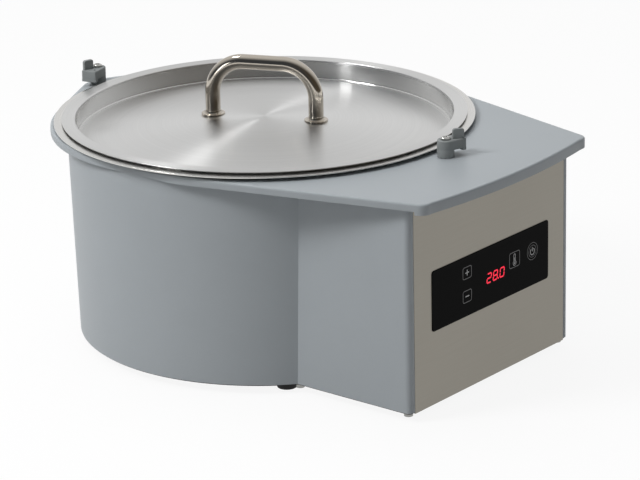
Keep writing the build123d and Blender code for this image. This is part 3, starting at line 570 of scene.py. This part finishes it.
def lidProfile(s):
    # Over the dome from its middle, across the gutter, up the wall, out over the rim and
    # back again one sheet's thickness lower.
    reach = np.linspace(s["domeStart"], s["gutter"] - s["domeGap"], s["domeRings"])
    upper = np.stack((reach, domeHeight(reach)), -1)
    lower = np.stack((reach, domeHeight(reach) - s["sheet"]), -1)
    floor, gutter = rimTop - s["depth"], s["gutter"] - 0.2
    top = [
        tuple(upper[-1]), (gutter, floor), (s["wallFoot"], floor),
        (s["wallTop"], rimTop), (s["rim"], rimTop), (s["rim"], rimTop - s["sheet"]),
        (s["wallTop"] + s["sheet"], rimTop - s["sheet"]),
        (s["wallFoot"] + s["sheet"], floor - s["sheet"]),
        (gutter, floor - s["sheet"]), tuple(lower[-1]),
    ]
    rounds = [
        0, s["gutterRound"], s["footRound"], s["mouthRound"], s["rimRound"], s["rimRound"],
        s["underRound"], s["footRound"], s["gutterRound"], 0,
    ]
    return np.vstack((upper[:-1], rounded(top, rounds, 7, loop=False), lower[:-1][::-1]))


addPiece("lidPan", [spun(lidProfile(lidShape), steps=192)], "lid", "lid_steel", ["lid"])


# The lid's handle: a round bar bent to an arch, thinly flared where it meets its rosettes

handleShape = {
    "turn": np.radians(-68.2), "span": 100.0, "bar": 7.0, "top": rimTop + 45.99, "bend": 31.0,
    "flare": 1.5, "flareHeight": 3.0, "flareSteps": (0, 0.12, 0.3, 0.5, 0.75, 1.0, 1.6),
    "steps": 40,
}


def handleGrid(s):
    # A circle carried along the arch, its radius growing as the square of the nearness to
    # the foot.
    half = s["span"] / 2
    foot = rosetteTop + s["flareHeight"] * np.array(s["flareSteps"])
    corners = [(-half, foot[-1]), (-half, s["top"]), (half, s["top"]), (half, foot[-1])]
    arch = rounded(corners, [0, s["bend"], s["bend"], 0], 22, loop=False)
    left = np.stack((np.full(len(foot) - 1, -half), foot[:-1]), -1)
    line = np.vstack((left, arch, (left * (-1, 1))[::-1]))
    along = np.gradient(line, axis=0)
    along /= np.linalg.norm(along, axis=1)[:, None]
    side = np.stack((-along[:, 1], along[:, 0]), -1)
    near = np.clip(1 - (line[:, 1] - rosetteTop) / s["flareHeight"], 0, 1)
    radius = s["bar"] + s["flare"] * near ** 2
    turn = np.linspace(0, 2 * np.pi, s["steps"], endpoint=False)
    reach = line[:, :1] + radius[:, None] * side[:, :1] * np.cos(turn)
    height = line[:, 1:] + radius[:, None] * side[:, 1:] * np.cos(turn)
    across = radius[:, None] * np.sin(turn)
    ax, ay = np.cos(s["turn"]), np.sin(s["turn"])
    return np.stack((reach * ax - across * ay, axisY + reach * ay + across * ax, height), -1)


addPiece("handleArch", [skin(handleGrid(handleShape))], "lid", "bar_steel", ["lid_handle"],
         sharp=50)

rosetteShape = {
    "radius": 11.0, "round": 0.5, "lift": 0.1,      # lift: clear of the dome under it
    "topReach": (10.0, 8.8, 7.2), "lowReach": (2.0, 6.0, 10.4), "heart": 2.0,
}


def rosetteSkin(side, s):
    # A thin disc whose underside lies on the dome: reach out and back again, and the lower
    # half takes its height from the dome under it.
    away = side * handleShape["span"] / 2
    hx = away * np.cos(handleShape["turn"])
    hy = axisY + away * np.sin(handleShape["turn"])
    turn = np.linspace(0, 2 * np.pi, 64, endpoint=False)
    bend = np.linspace(0, np.pi / 2, 6)
    topReach = np.concatenate((s["radius"] - s["round"] * (1 - np.cos(bend)), s["topReach"]))
    topHeight = np.concatenate((rosetteTop - s["round"] * (1 - np.sin(bend)),
                                [rosetteTop] * len(s["topReach"])))
    lowReach = (*s["lowReach"], s["radius"])
    low = len(lowReach)
    reach = np.concatenate((lowReach, topReach, (s["heart"],)))[:, None]
    x, y = hx + reach * np.cos(turn), hy + reach * np.sin(turn)
    under = domeHeight(np.hypot(x, y - axisY)) + s["lift"]
    height = np.concatenate((np.zeros(low), topHeight, (rosetteTop,)))[:, None] + 0 * turn
    height[:low] = under[:low]
    return skin(np.stack((x, y, height), -1))


addPiece("handleRosettes", [rosetteSkin(-1, rosetteShape), rosetteSkin(1, rosetteShape)],
         "lid", "bar_steel", ["handle_rosettes"])


# The deck: one outline with a deeper front lip, and a round opening with a skirt

deckShape = {
    "corners": [
        (122.0, -277.0), (184.0, -49.0), (184.0, 131.24), (0.0, 222.5),
        (-184.0, 131.24), (-184.0, -49.0), (-122.0, -277.0),
    ],
    "rounds": [9.5, 60.0, 170.0, 30.0, 170.0, 60.0, 9.5],
    "thickness": 7.0, "bow": 9.0, "lip": 3.0, "lipWidth": 4.0, "lipEnd": -267.5, "edge": 2.0,
    "underRound": [(0.8, 0.0), (0.1, 0.15), (0.0, 0.9)],        # pulled in, raised
    "sideTop": 2.6, "flat": 3.0,
    "hole": 178.5, "holeRound": [(0.8, 0.0), (0.15, 0.15), (0.0, 0.8)],     # wider, lowered
    "skirt": 1.7, "skirtDepth": 8.0,
}
deckBottom = deckTop - deckShape["thickness"]


def deckOutline(s):
    # The front run between the last and the first corner bows forward as a parabola.
    side = rounded(s["corners"], s["rounds"], 18)
    front = np.linspace(side[-1][0], side[0][0], 28)[1:-1]
    wide = np.abs(side[0][0])
    bowed = np.stack((front, side[0][1] - s["bow"] * (1 - (front / wide) ** 2)), -1)
    return np.vstack((side, bowed))


def denser(line, longest):
    # Runs longer than a given length get evenly spaced points between their ends.
    after = np.roll(line, -1, 0)
    parts = np.maximum(1, np.ceil(np.linalg.norm(after - line, axis=1) / longest)).astype(int)
    return np.vstack([a + (b - a) * np.linspace(0, 1, n, endpoint=False)[:, None]
                      for a, b, n in zip(line, after, parts)])


def deckSkin(s):
    # Rings from the underside up round the outer edge, in over the top, down the opening
    # and its skirt, and out again under the deck to the inside of the lip.
    line = denser(deckOutline(s), 9.0)
    after = np.roll(line, -1, 0)
    # two close points on each side where the lip ends
    cross = np.nonzero((line[:, 1] - s["lipEnd"]) * (after[:, 1] - s["lipEnd"]) < 0)[0]
    for k in cross[::-1]:
        a, b = line[k], after[k]
        share = (s["lipEnd"] - a[1]) / (b[1] - a[1])
        step = 0.03 / np.linalg.norm(b - a)
        pair = [a + (b - a) * (share - step), a + (b - a) * (share + step)]
        line = np.insert(line, k + 1, pair, 0)
    inward = inwardNormals(line)
    low = np.where(line[:, 1] < s["lipEnd"], deckBottom - s["lip"], deckBottom)
    around = np.arctan2(line[:, 1], line[:, 0])
    wayOut = np.stack((np.cos(around), np.sin(around)), -1)
    bend = np.linspace(0, np.pi / 2, 7)
    rings = [upright(line + inward * pull, low + rise) for pull, rise in s["underRound"]]
    rings += [upright(line, deckTop - s["sideTop"])]
    rings += [upright(line + inward * s["edge"] * (1 - np.cos(b)),
                      deckTop - s["edge"] * (1 - np.sin(b))) for b in bend]
    rings += [upright(line + inward * s["flat"], deckTop)]
    rings += [upright(wayOut * (s["hole"] + more), deckTop - drop) for more, drop in s["holeRound"]]
    skirt, foot = wayOut * (s["hole"] + s["skirt"]), deckBottom - s["skirtDepth"]
    rings += [upright(wayOut * s["hole"], foot), upright(skirt, foot), upright(skirt, deckBottom)]
    behind = line + inward * s["lipWidth"]
    rings += [upright(behind, deckBottom), upright(behind, low)]
    grid = np.stack(rings)
    grid[..., 1] += axisY
    return skin(grid, wrapRows=True)


addPiece("deckPlate", [deckSkin(deckShape)], "housing", "deck_grey", ["top_deck"])


# The gasket between deck and flange, its outer side slightly hollow

gasketShape = {"inner": 181.0, "outer": 188.0, "waist": 187.2, "rounds": [0.3, 0.5, 1.2, 0.5, 0.3]}


def gasketProfile(s):
    low, high = gasketLow[2], gasketHigh[2]
    corners = [(s["inner"], low), (s["outer"], low), (s["waist"], (low + high) / 2),
               (s["outer"], high), (s["inner"], high)]
    return rounded(corners, s["rounds"], 5)


addPiece("gasketRing", [spun(gasketProfile(gasketShape), loop=True)], "housing", "gasket_rubber",
         ["flange_gasket"])


# The housing: a tapered drum run into a square box, open inside, with a recess for the panel

shellShape = {
    "topRadius": 183.0, "bottomRadius": 178.5, "top": deckBottom, "bottom": 9.2, "wall": 2.5,
    "halfWidth": 120.5, "front": 257.5, "post": 7.2, "corner": 5.0, "panel": 1.5,
    "innerFront": 253.0, "inletRow": -205.0, "inletHeight": 45.0, "opening": (27.6, 20.6),
    "frontColumns": (0.0, 40.0, 80.0), "innerColumns": 12, "sideColumns": (-240.0, -160.0),
    "middleHeights": (100.0, 150.0), "edge": 0.5,
}


def shellLines(s, height):
    # The outer outline at one height: an arc of the drum, both flat sides and the recessed
    # front. The inner outline has a point for each of its points.
    share = (height - s["bottom"]) / (s["top"] - s["bottom"])
    radius = s["bottomRadius"] + share * (s["topRadius"] - s["bottomRadius"])
    inner = radius - s["wall"]
    w, f, p = s["halfWidth"], -s["front"], s["panel"]
    wi, fi = w - s["wall"], -s["innerFront"]
    join = -np.sqrt(radius ** 2 - w ** 2)
    joinIn = -np.sqrt(inner ** 2 - wi ** 2)
    start = np.arctan2(join, w)
    turn = np.linspace(start, np.pi - start, 121)
    startIn = np.arctan2(joinIn, wi)
    turnIn = np.linspace(startIn, np.pi - startIn, 121)
    drum = radius * np.stack((np.cos(turn), np.sin(turn)), -1)
    drumIn = inner * np.stack((np.cos(turnIn), np.sin(turnIn)), -1)
    half = s["opening"][0] / 2
    inlet = (s["inletRow"] - half, s["inletRow"] + half)
    bend = np.linspace(0, np.pi / 2, 7)
    cornerX = w - s["corner"] + s["corner"] * np.sin(bend)
    cornerY = f + s["corner"] - s["corner"] * np.cos(bend)
    post = w - s["post"]
    # right half of the front, from the middle to the corner and up the right side
    round1, round2 = 0.25, 0.9          # the post's inner edge
    frontX = (*s["frontColumns"], post, post, post, post + round1, post + round2, *cornerX)
    frontY = (*[f + p] * 4, f + round2, f + round1, f, f, *cornerY)
    insideX = (*s["frontColumns"], *np.linspace(post - 4, wi, s["innerColumns"]))
    near, far = s["sideColumns"]
    sideY = (f + s["corner"] + 1.5, near, *inlet, far, join - 1.2)
    sideIn = (fi + 3.0, near, *inlet, far, joinIn - 1.2)
    right = np.vstack((np.stack((frontX, frontY), -1), [(w, y) for y in sideY]))
    rightIn = np.vstack(([(x, fi) for x in insideX], [(wi, y) for y in sideIn]))
    mirror = np.array((-1, 1))
    outer = np.vstack((right, drum, (right * mirror)[::-1][:-1]))
    inside = np.vstack((rightIn, drumIn, (rightIn * mirror)[::-1][:-1]))
    return outer, inside


def shellSkin(s):
    # The outer wall's outlines from the bottom up, then the inner wall's from the top down.
    half = s["opening"][1] / 2
    heights = (s["bottom"], s["bottom"] + s["edge"], s["inletHeight"] - half,
               s["inletHeight"] + half, *s["middleHeights"], s["top"] - s["edge"], s["top"])
    lines = [shellLines(s, h) for h in heights]
    outer = np.stack([upright(line[0], h) for line, h in zip(lines, heights)])
    inside = np.stack([upright(line[1], h) for line, h in zip(lines, heights)])
    grid = np.concatenate((outer, inside[::-1]))
    grid[..., 1] += axisY
    points, faces = skin(grid, wrapRows=True)
    # the opening for the power inlet: one face out of each wall, and four between the walls
    cols = grid.shape[1]
    first = len(s["frontColumns"]) + s["innerColumns"] + 2      # its column in every row
    below = 2                                                   # its row in the outer wall
    belowIn = len(grid) - 1 - below

    def corners(row, step):
        low, high = row * cols + first, (row + step) * cols + first
        return [low, low + 1, high + 1, high]

    outerHole, innerHole = corners(below, 1), corners(belowIn, -1)
    holes = (set(outerHole), set(innerHole))
    kept = [f for f in faces if set(f) not in holes]
    gone = next(f for f in faces if set(f) == holes[0])
    pair = dict(zip(outerHole, innerHole))
    for k in range(4):
        a, b = gone[k], gone[(k + 1) % 4]
        kept.append([a, b, pair[b], pair[a]])
    return points, kept


ledgeShape = {
    "ringReach": (166.5, 180.3), "ringHeight": (174.0, 177.0), "edge": 0.3, "gap": 0.05,
    "columnRadius": 4.5, "columnHeight": 25.0,
    "frontInset": 7.5, "sideInset": 5.5, "drumInset": 4.9,
    "lugRadius": 6.0, "lugHeight": 12.0, "lugX": 113.0, "lugY": (-245.0, -160.0),
}


def ledgeSkins(s, shell):
    # The ring that carries the well, screw columns, and the deck's lugs.
    (near, far), (low, high) = s["ringReach"], s["ringHeight"]
    ring = rounded([(near, low), (far, low), (far, high), (near, high)], [s["edge"]] * 4, 3)
    made = [spun(ring, loop=True)]
    cornerX = shell["halfWidth"] - s["sideInset"]
    drum = shell["bottomRadius"] - s["drumInset"]
    columns = [(shell["halfWidth"] - s["frontInset"], s["frontInset"] - shell["front"]),
               (cornerX, -np.sqrt(drum ** 2 - cornerX ** 2)), (drum * 0.5, drum * np.sqrt(0.75))]
    lugs = [(s["lugX"], y) for y in s["lugY"]]
    bottom, top = shell["bottom"], shell["top"]
    for places, radius, start, end in (
        (columns, s["columnRadius"], bottom + s["gap"], bottom + s["columnHeight"]),
        (lugs, s["lugRadius"], top - s["lugHeight"], top - s["gap"]),
    ):
        for x, y in places:
            for side in (-1, 1):
                outline = ringOutline(radius, (side * x, y + axisY), 24)
                made.append(skin(slab(outline, start, end, s["edge"], 2)))
    return made


addPiece("housingShell", [shellSkin(shellShape)] + ledgeSkins(ledgeShape, shellShape), "housing",
         "shell_grey", ["body_shell"])


# The steel panel between the posts

panelShape = {
    "sheet": 1.5, "edge": 0.3, "corner": 0.6,
    "stud": 2.0, "studEdge": 0.2, "studX": (-100.0, 100.0), "studZ": (30.2, 180.0),
}


def panelSkins(s):
    # A thin sheet with four short welded studs behind it.
    width, depth, height = panelHigh - panelLow
    outline = boxOutline(width, height, s["corner"], (0, (panelHigh[2] + panelLow[2]) / 2), 3)
    sheet = slab(outline, 0.0, s["sheet"], s["edge"], 3)
    made = [skin(facing(sheet, panelLow[1] + s["sheet"]))]
    for place in [(x, z) for x in s["studX"] for z in s["studZ"]]:
        length = depth - 0.5 * s["sheet"]
        rod = slab(ringOutline(s["stud"], place, 20), 0.0, length, s["studEdge"], 2)
        made.append(skin(facing(rod, panelHigh[1])))
    return made


addPiece("panelSheet", panelSkins(panelShape), "housing", "panel_steel", ["front_panel"])


# The keypad film with its printed keys and the lit digits

filmShape = {
    "corner": 3.0, "edge": 0.12, "thickness": 0.5, "proud": 0.05, "sunk": 0.1,
    "keys": [(-36.4, 12.6, 12.6, 10.8), (-36.4, -9.4, 12.6, 10.8), (35.3, 4.5, 15.6, 14.2)],
    "keyCorner": 2.0, "line": 0.7, "power": (62.9, 4.6), "rings": (8.0, 5.6), "ringLine": 0.5,
}
filmFront = filmLow[1]
filmMiddle = (filmLow[2] + filmHigh[2]) / 2


def ribbon(line, width, loop=True):
    # A flat printed line: its four edges follow the line half a width to each side.
    if loop:
        along = np.roll(line, -1, 0) - np.roll(line, 1, 0)
    else:
        along = np.gradient(line, axis=0)
    along /= np.linalg.norm(along, axis=1)[:, None]
    side = np.stack((-along[:, 1], along[:, 0]), -1) * width / 2
    left, right = line + side, line - side
    low, high = -filmShape["sunk"], filmShape["proud"]
    grid = np.stack((upright(left, low), upright(left, high), upright(right, high),
                     upright(right, low)), 1)
    return skin(onFilm(grid), wrapRows=loop, caps=not loop)


def onFilm(grid):
    # From the film's middle to its place on the panel.
    return facing(grid + np.array((0, filmMiddle, 0)), filmFront)


def blob(outline):
    # A filled printed shape, from its outline.
    ends = [upright(outline, height) for height in (-filmShape["sunk"], filmShape["proud"])]
    return skin(onFilm(np.stack(ends)))


def arc(radius, middle, first, last, steps=40):
    turn = np.radians(np.linspace(first, last, steps))
    return radius * np.stack((np.cos(turn), np.sin(turn)), -1) + np.array(middle)


def stroke(a, b, width):
    # A short straight printed stroke with rounded ends.
    a, b = np.array(a, float), np.array(b, float)
    along = (b - a) / np.linalg.norm(b - a)
    side = np.array((-along[1], along[0]))
    turn = np.linspace(-np.pi / 2, np.pi / 2, 9)[:, None]
    far = b + width / 2 * (np.cos(turn) * along + np.sin(turn) * side)
    near = a - width / 2 * (np.cos(turn) * along + np.sin(turn) * side)
    return blob(np.vstack((far, near)))


def keyLines(s):
    # A rounded frame for each square key and two rings for the round one.
    frames = [ribbon(boxOutline(w, h, s["keyCorner"], (x, y), 6), s["line"])
              for x, y, w, h in s["keys"]]
    rings = [ribbon(ringOutline(radius, s["power"], 64), s["ringLine"]) for radius in s["rings"]]
    return frames + rings


def keySigns(s):
    # A plus, a minus, a thermometer and the common on-off sign.
    (ax, ay), (bx, by), (tx, ty) = (key[:2] for key in s["keys"])
    px, py = s["power"]
    return [
        stroke((ax - 2.3, ay), (ax + 2.3, ay), 1.0), stroke((ax, ay - 2.3), (ax, ay + 2.3), 1.0),
        stroke((bx - 2.3, by), (bx + 2.3, by), 1.1),
        ribbon(thermometer(tx, ty), 0.6), blob(ringOutline(1.1, (tx, ty - 3.3), 24)),
        stroke((tx, ty - 3.0), (tx, ty + 1.4), 0.7),
        ribbon(arc(3.1, (px, py - 0.3), 122, 418), 0.8, loop=False),
        stroke((px, py + 0.2), (px, py + 3.6), 0.8),
    ]


def thermometer(x, y):
    # A bulb's arc joined to a thin round-headed tube.
    bulb = arc(2.2, (x, y - 3.3), 123, 417, 24)
    head = arc(1.2, (x, y + 4.0), 0, 180, 10)
    return np.vstack((bulb, head))


digitShape = {
    "shown": "280", "places": (-9.4, 0.0, 10.2), "middle": (5.9, -1.9), "size": (6.0, 8.4),
    "stroke": 1.3, "gap": 0.12, "lean": 0.12, "dot": 1.5, "dotCorner": 0.4, "dotPlace": (4.4, 0.2),
    "lit": {"2": "abged", "8": "abcdefg", "0": "abcdef"},
    "bars": {                   # both ends of each bar, in half widths and half heights
        "a": ((-1, 1), (1, 1)), "b": ((1, 0), (1, 1)), "c": ((1, -1), (1, 0)),
        "d": ((-1, -1), (1, -1)), "e": ((-1, -1), (-1, 0)), "f": ((-1, 0), (-1, 1)),
        "g": ((-1, 0), (1, 0)),
    },
}


def digitBars(s):
    # Seven bars for each digit, pointed at both ends and leaning with the display.
    half = np.array(s["size"]) / 2
    t, (x, y) = s["stroke"], s["middle"]
    made = []
    for place, digit in zip(s["places"], s["shown"]):
        for bar in s["lit"][digit]:
            a, b = s["bars"][bar] * half
            along = (b - a) / np.linalg.norm(b - a)
            side = np.array((-along[1], along[0])) * t / 2
            a, b = a + along * s["gap"], b - along * s["gap"]
            tip = along * t / 2
            outline = np.array((a, a + tip - side, b - tip - side, b, b - tip + side,
                                a + tip + side))
            outline[:, 0] += s["lean"] * outline[:, 1] + place + x
            outline[:, 1] += y
            made.append(blob(outline))
    dot = (x + s["dotPlace"][0], y - half[1] + s["dotPlace"][1])
    made.append(blob(boxOutline(s["dot"], s["dot"], s["dotCorner"], dot, 3)))
    return made


filmWidth, _, filmHeight = filmHigh - filmLow
filmOutline = boxOutline(filmWidth, filmHeight, filmShape["corner"], steps=8)
filmSlab = slab(filmOutline, -filmShape["thickness"], 0.0, filmShape["edge"], 3)
addPiece("keypadFilm", [skin(onFilm(filmSlab))], "housing", "membrane_film", ["membrane_keypad"])
addPiece("keypadLines", keyLines(filmShape), "housing", "membrane_film", finish="keyPrint")
addPiece("keypadSigns", keySigns(filmShape), "housing", "membrane_film", finish="signPrint")
addPiece("displayDigits", digitBars(digitShape), "housing", "membrane_film",
         finish="digitGlow")


# The two turn clamps, each with a boss, an arm with a toe, a finger tab and its screw

clampShape = {
    "boss": 7.75, "bossEdge": 0.25, "reach": 17.5, "armRound": 1.0, "edge": 1.2,
    "low": 205.3, "armLow": 211.8, "top": 221.0, "lap": 1.0,    # lap: two forms share this
    "toe": 4.0, "toeLow": 209.9, "toeRound": 0.6, "toeEdge": 0.3,
    "tab": (10.5, 3.4), "tabTop": 230.0, "tabSunk": 0.5, "tabRound": 2.2, "tabEdge": 0.7,
    "tabPlace": (11.0, -4.0), "tabTurn": -27.0,
    "front": {"pivot": -208.5, "turn": -15.0}, "rear": {"pivot": 208.5, "turn": 193.0},
}


def turned(points, degrees):
    turn = np.radians(degrees)
    return points @ np.array(((np.cos(turn), np.sin(turn)), (-np.sin(turn), np.cos(turn))))


def clampSkins(side, s):
    # Drawn with the screw at the origin and the arm along x, then turned and put in place.
    def placed(outline):
        return turned(outline, s[side]["turn"]) + np.array((0.0, axisY + s[side]["pivot"]))

    b, r = s["boss"], s["reach"]
    back = arc(b, (0, 0), 90, 270, 25)
    arm = np.vstack((back[-1], (r, -b), (r, b), back[0]))
    corners = rounded(arm, [0, s["armRound"], s["armRound"], 0], 4, loop=False)
    outline = denser(np.vstack((back[:-1], corners[:-1])), 3.0)
    over = s["armLow"] + s["lap"]
    armSlab = slab(placed(outline), s["armLow"], s["top"], s["edge"], 4)
    bossSlab = slab(placed(ringOutline(b, steps=40)), s["low"], over, s["bossEdge"], 2)
    toe = boxOutline(s["toe"], 2 * b, s["toeRound"], (r - s["toe"] / 2, 0), 3)
    toeSlab = slab(placed(toe), s["toeLow"], over, s["toeEdge"], 2)
    w, t = s["tab"][0] / 2, s["tab"][1] / 2
    foot = s["top"] - s["tabSunk"]
    plate = rounded([(-w, foot), (w, foot), (w, s["tabTop"]), (-w, s["tabTop"])],
                    [0.2, 0.2, s["tabRound"], s["tabRound"]], 6)
    sheet = slab(plate, -t, t, s["tabEdge"], 4)
    level = placed(turned(sheet[..., (0, 2)], s["tabTurn"]) + np.array(s["tabPlace"]))
    tabSlab = np.stack((level[..., 0], level[..., 1], sheet[..., 1]), -1)[::-1]
    return [skin(grid) for grid in (armSlab, bossSlab, toeSlab, tabSlab)]


for side in ("front", "rear"):
    addPiece(side + "TurnClamp", clampSkins(side, clampShape), side + "_clamp", "clamp_grey",
             [side + "_clamp"])

screwShape = {
    "head": 4.6, "height": 2.4, "fall": 0.55, "underHead": [(0.0, 0.9), (0.0, 0.1), (-0.1, 0.0)],
    "slot": 0.55, "slotReach": 2.35, "soft": 0.08, "depth": 1.1,
    "shank": 2.9, "seat": 221.3, "bottom": boxOf("clamp_screws")[0][2],
}


def crossScrew(middle, s):
    # A domed head: its height falls as the fourth power of the reach, and a cross is pressed
    # into it where either coordinate is small.
    turn = np.linspace(0, 2 * np.pi, 96, endpoint=False)
    reach = np.concatenate((np.linspace(0.1, 2.7, 16), np.linspace(2.9, s["head"] - 0.02, 10)))
    reach = reach[:, None]
    x, y = reach * np.cos(turn), reach * np.sin(turn)
    crown = s["seat"] + s["height"] * (1 - s["fall"] * (reach / s["head"]) ** 4)
    narrow = np.minimum(np.abs(x), np.abs(y))
    nearSlot = 1 / (1 + np.exp((narrow - s["slot"]) / s["soft"]))
    press = nearSlot / (1 + np.exp((reach - s["slotReach"]) / s["soft"]))
    top = np.stack((x, y, crown - s["depth"] * press), -1)
    side = [(s["head"] + out, s["seat"] + up) for out, up in s["underHead"]]
    side += [(s["shank"], s["seat"]), (s["shank"], s["bottom"]), (0.5, s["bottom"])]
    radius, height = np.array(side).T[:, :, None]
    lower = np.stack((radius * np.cos(turn), radius * np.sin(turn), height + 0 * turn), -1)
    return skin(np.concatenate((top, lower)) + np.array((*middle, 0)))


pivots = [(0.0, axisY + clampShape[side]["pivot"]) for side in ("front", "rear")]
addPiece("pivotScrews", [crossScrew(p, screwShape) for p in pivots], "housing", "screw_steel",
         ["clamp_screws"], sharp=45)


# Feet: short tapered rubber buttons, hollowed for their screw heads

footShape = {
    "radius": 10.0, "lower": 9.0, "height": 8.0, "recess": 5.5, "depth": 3.0, "bore": 2.1,
    "rounds": [0.2, 0.3, 0.4, 1.1, 0.4, 0.2], "spread": 113.0,
}


def footSkins(s):
    corners = [(s["bore"], s["depth"]), (s["recess"], s["depth"]), (s["recess"], 0.0),
               (s["lower"], 0.0), (s["radius"], s["height"]), (s["bore"], s["height"])]
    line = rounded(corners, s["rounds"], 5)
    places = [(x * s["spread"], y * s["spread"] + axisY) for x in (-1, 1) for y in (-1, 1)]
    return [spun(line, loop=True, middle=p, steps=64) for p in places]


addPiece("rubberButtons", footSkins(footShape), "housing", "foot_rubber", ["rubber_feet"])


# The power inlet: a flanged frame round its socket, with the body behind it

inletShape = {
    "flange": (48.0, 22.0), "thickness": 2.5, "recess": (24.0, 16.5), "depth": 16.0,
    "body": (27.0, 20.0), "back": 20.0,
}


def inletSkin(s):
    # Rings from the back of the body out over the flange and down into the socket; each has
    # the same number of points, so neighbouring rings join face by face.
    t = s["thickness"]
    rings = [           # which size, added to it, corner radius, distance from the wall
        ("body", 0.0, 1.0, -s["back"]), ("body", 0.0, 1.0, 0.0), ("flange", 0.0, 4.0, 0.0),
        ("flange", 0.0, 4.0, t - 0.6), ("flange", -0.35, 3.8, t - 0.17), ("flange", -1.2, 3.4, t),
        ("recess", 1.0, 2.0, t), ("recess", 0.3, 1.7, t - 0.15), ("recess", 0.0, 1.5, t - 0.5),
        ("recess", 0.0, 1.5, t - s["depth"]),
    ]
    grid = np.stack([
        upright(boxOutline(s[size][0] + more, s[size][1] + more, radius, steps=8), away)
        for size, more, radius, away in rings])
    grid += np.array((shellShape["inletRow"] + axisY, shellShape["inletHeight"], 0))
    return skin(sideways(grid, shellShape["halfWidth"]))


addPiece("inletFrame", [inletSkin(inletShape)], "housing", "black_moulding", ["power_inlet"])
print("new pieces made")


# Finishes for the CAD nodes that stay as they are

nodeFinishes = {"base_screws": "darkScrew"}     # duller than the other screws

for row in frame["record"]["subparts"]:
    slots = frame["nodes"][row["node"]].data.materials
    slots.clear()
    slots.append(finishOf(row["material_slot"], nodeFinishes.get(row["node"])))
print("carried-over nodes finished")


# Floor, world and lamps

stageLook = {
    "size": 14.0, "floor": (0.42, 0.42, 0.42),      # the floor as it lights the object
    "shown": (0.98, 0.98, 0.98), "white": 0.9,      # and as the camera and the gloss see it
}


def addFloor(s):
    half = s["size"] / 2
    mesh = bpy.data.meshes.new("paperFloor")
    corners = [(-half, -half, 0), (half, -half, 0), (half, half, 0), (-half, half, 0)]
    mesh.from_pydata(corners, [], [(0, 1, 2, 3)])
    start, place = startFinish("paperWhite")
    rays = start.node("LightPath").socket.node.outputs
    camera, glossy, through = (Wire(start.tree, rays[kind]) for kind in (
        "Is Camera Ray", "Is Glossy Ray", "Is Transmission Ray"))
    seen = (camera + glossy + through).clamped()
    clouds = place.noise(3.0)
    paperTone = clouds.blend(s["shown"], tuple(0.985 * c for c in s["shown"]))
    paper = start.node("BsdfDiffuse", None, {"Color": seen.blend(s["floor"], paperTone)})
    lit = start.node("Emission", None, {"Color": (1, 1, 1, 1), "Strength": 1.0})
    share = seen * s["white"]
    mixed = start.node("MixShader", None, {0: share, 1: paper, 2: lit})
    start.node("OutputMaterial", None, {"Surface": mixed})
    mesh.materials.append(finishes["paperWhite"])
    floor = bpy.data.objects.new("paperFloor", mesh)
    bpy.context.scene.collection.objects.link(floor)


def setWorld(s):
    # Even light for the surfaces, and for gloss a room that is bright on the far side,
    # middling overhead and dark on the near side, brown to one hand and blue to the other.
    world = bpy.data.worlds.new("studioRoom")
    world.use_nodes = True
    world.node_tree.nodes.clear()
    start = Wire(world.node_tree)
    direction = start.node("TexCoord", out=0)
    x, y, z = direction.parts()
    far = x * s["far"][0] + y * s["far"][1]
    side = x * s["side"][0] + y * s["side"][1]
    tint = side.spread(-0.9, 0.7).blend(s["brown"], s["blue"])
    room = (0.7 * far + 0.58 * z - 0.05 * side).spread(-0.1, 0.76).blend(tint, s["high"])
    rays = start.node("LightPath").socket.node.outputs
    glossy = Wire(start.tree, rays["Is Glossy Ray"])
    even = start.node("Background", None, {"Color": (*s["even"], 1.0), "Strength": s["level"]})
    shown = start.node("Background", None, {"Color": room, "Strength": s["shine"]})
    both = start.node("MixShader", None, {0: glossy, 1: even, 2: shown})
    start.node("OutputWorld", None, {"Surface": both})
    bpy.context.scene.world = world


worldLook = {
    "brown": (0.105, 0.085, 0.06), "blue": (0.07, 0.078, 0.09), "high": (1.0, 1.0, 1.0),
    "far": (0.77, 0.64), "side": (-0.64, 0.77), "even": (0.98, 0.99, 1.0), "level": 0.3,
    "shine": 0.78,
}

lampLooks = {
    "keyLamp": {"from": (-1.75, 0.92, 1.95), "size": (0.8, 0.8), "power": 39.0, "shows": "broad"},
    "topLamp": {"from": (0.3, 0.6, 2.5), "size": (2.0, 2.0), "power": 21.5, "shows": "broad"},
    "stripLamp": {"from": (-2.3, 0.62, 0.5), "size": (0.32, 0.8), "power": 4.0, "shows": "gloss"},
    "streakLamp": {"from": (-0.25, 1.4, 2.6), "size": (0.4, 0.4), "power": 13.0, "shows": "gloss"},
}


def addLamp(name, s):
    data = bpy.data.lights.new(name, "AREA")
    data.shape = "RECTANGLE"
    data.size, data.size_y = s["size"]
    data.energy = s["power"]
    lamp = bpy.data.objects.new(name, data)
    lamp.location = s["from"]
    lamp.visible_glossy = s["shows"] == "gloss"
    lamp.visible_diffuse = s["shows"] == "broad"
    toward = Vector((0, 0, 0.12)) - lamp.location
    lamp.rotation_euler = toward.to_track_quat("-Z", "Y").to_euler()
    bpy.context.scene.collection.objects.link(lamp)


addFloor(stageLook)
setWorld(worldLook)
for name, look in lampLooks.items():
    addLamp(name, look)
bpy.context.scene.view_settings.view_transform = "Standard"
print("stage and lamps set")
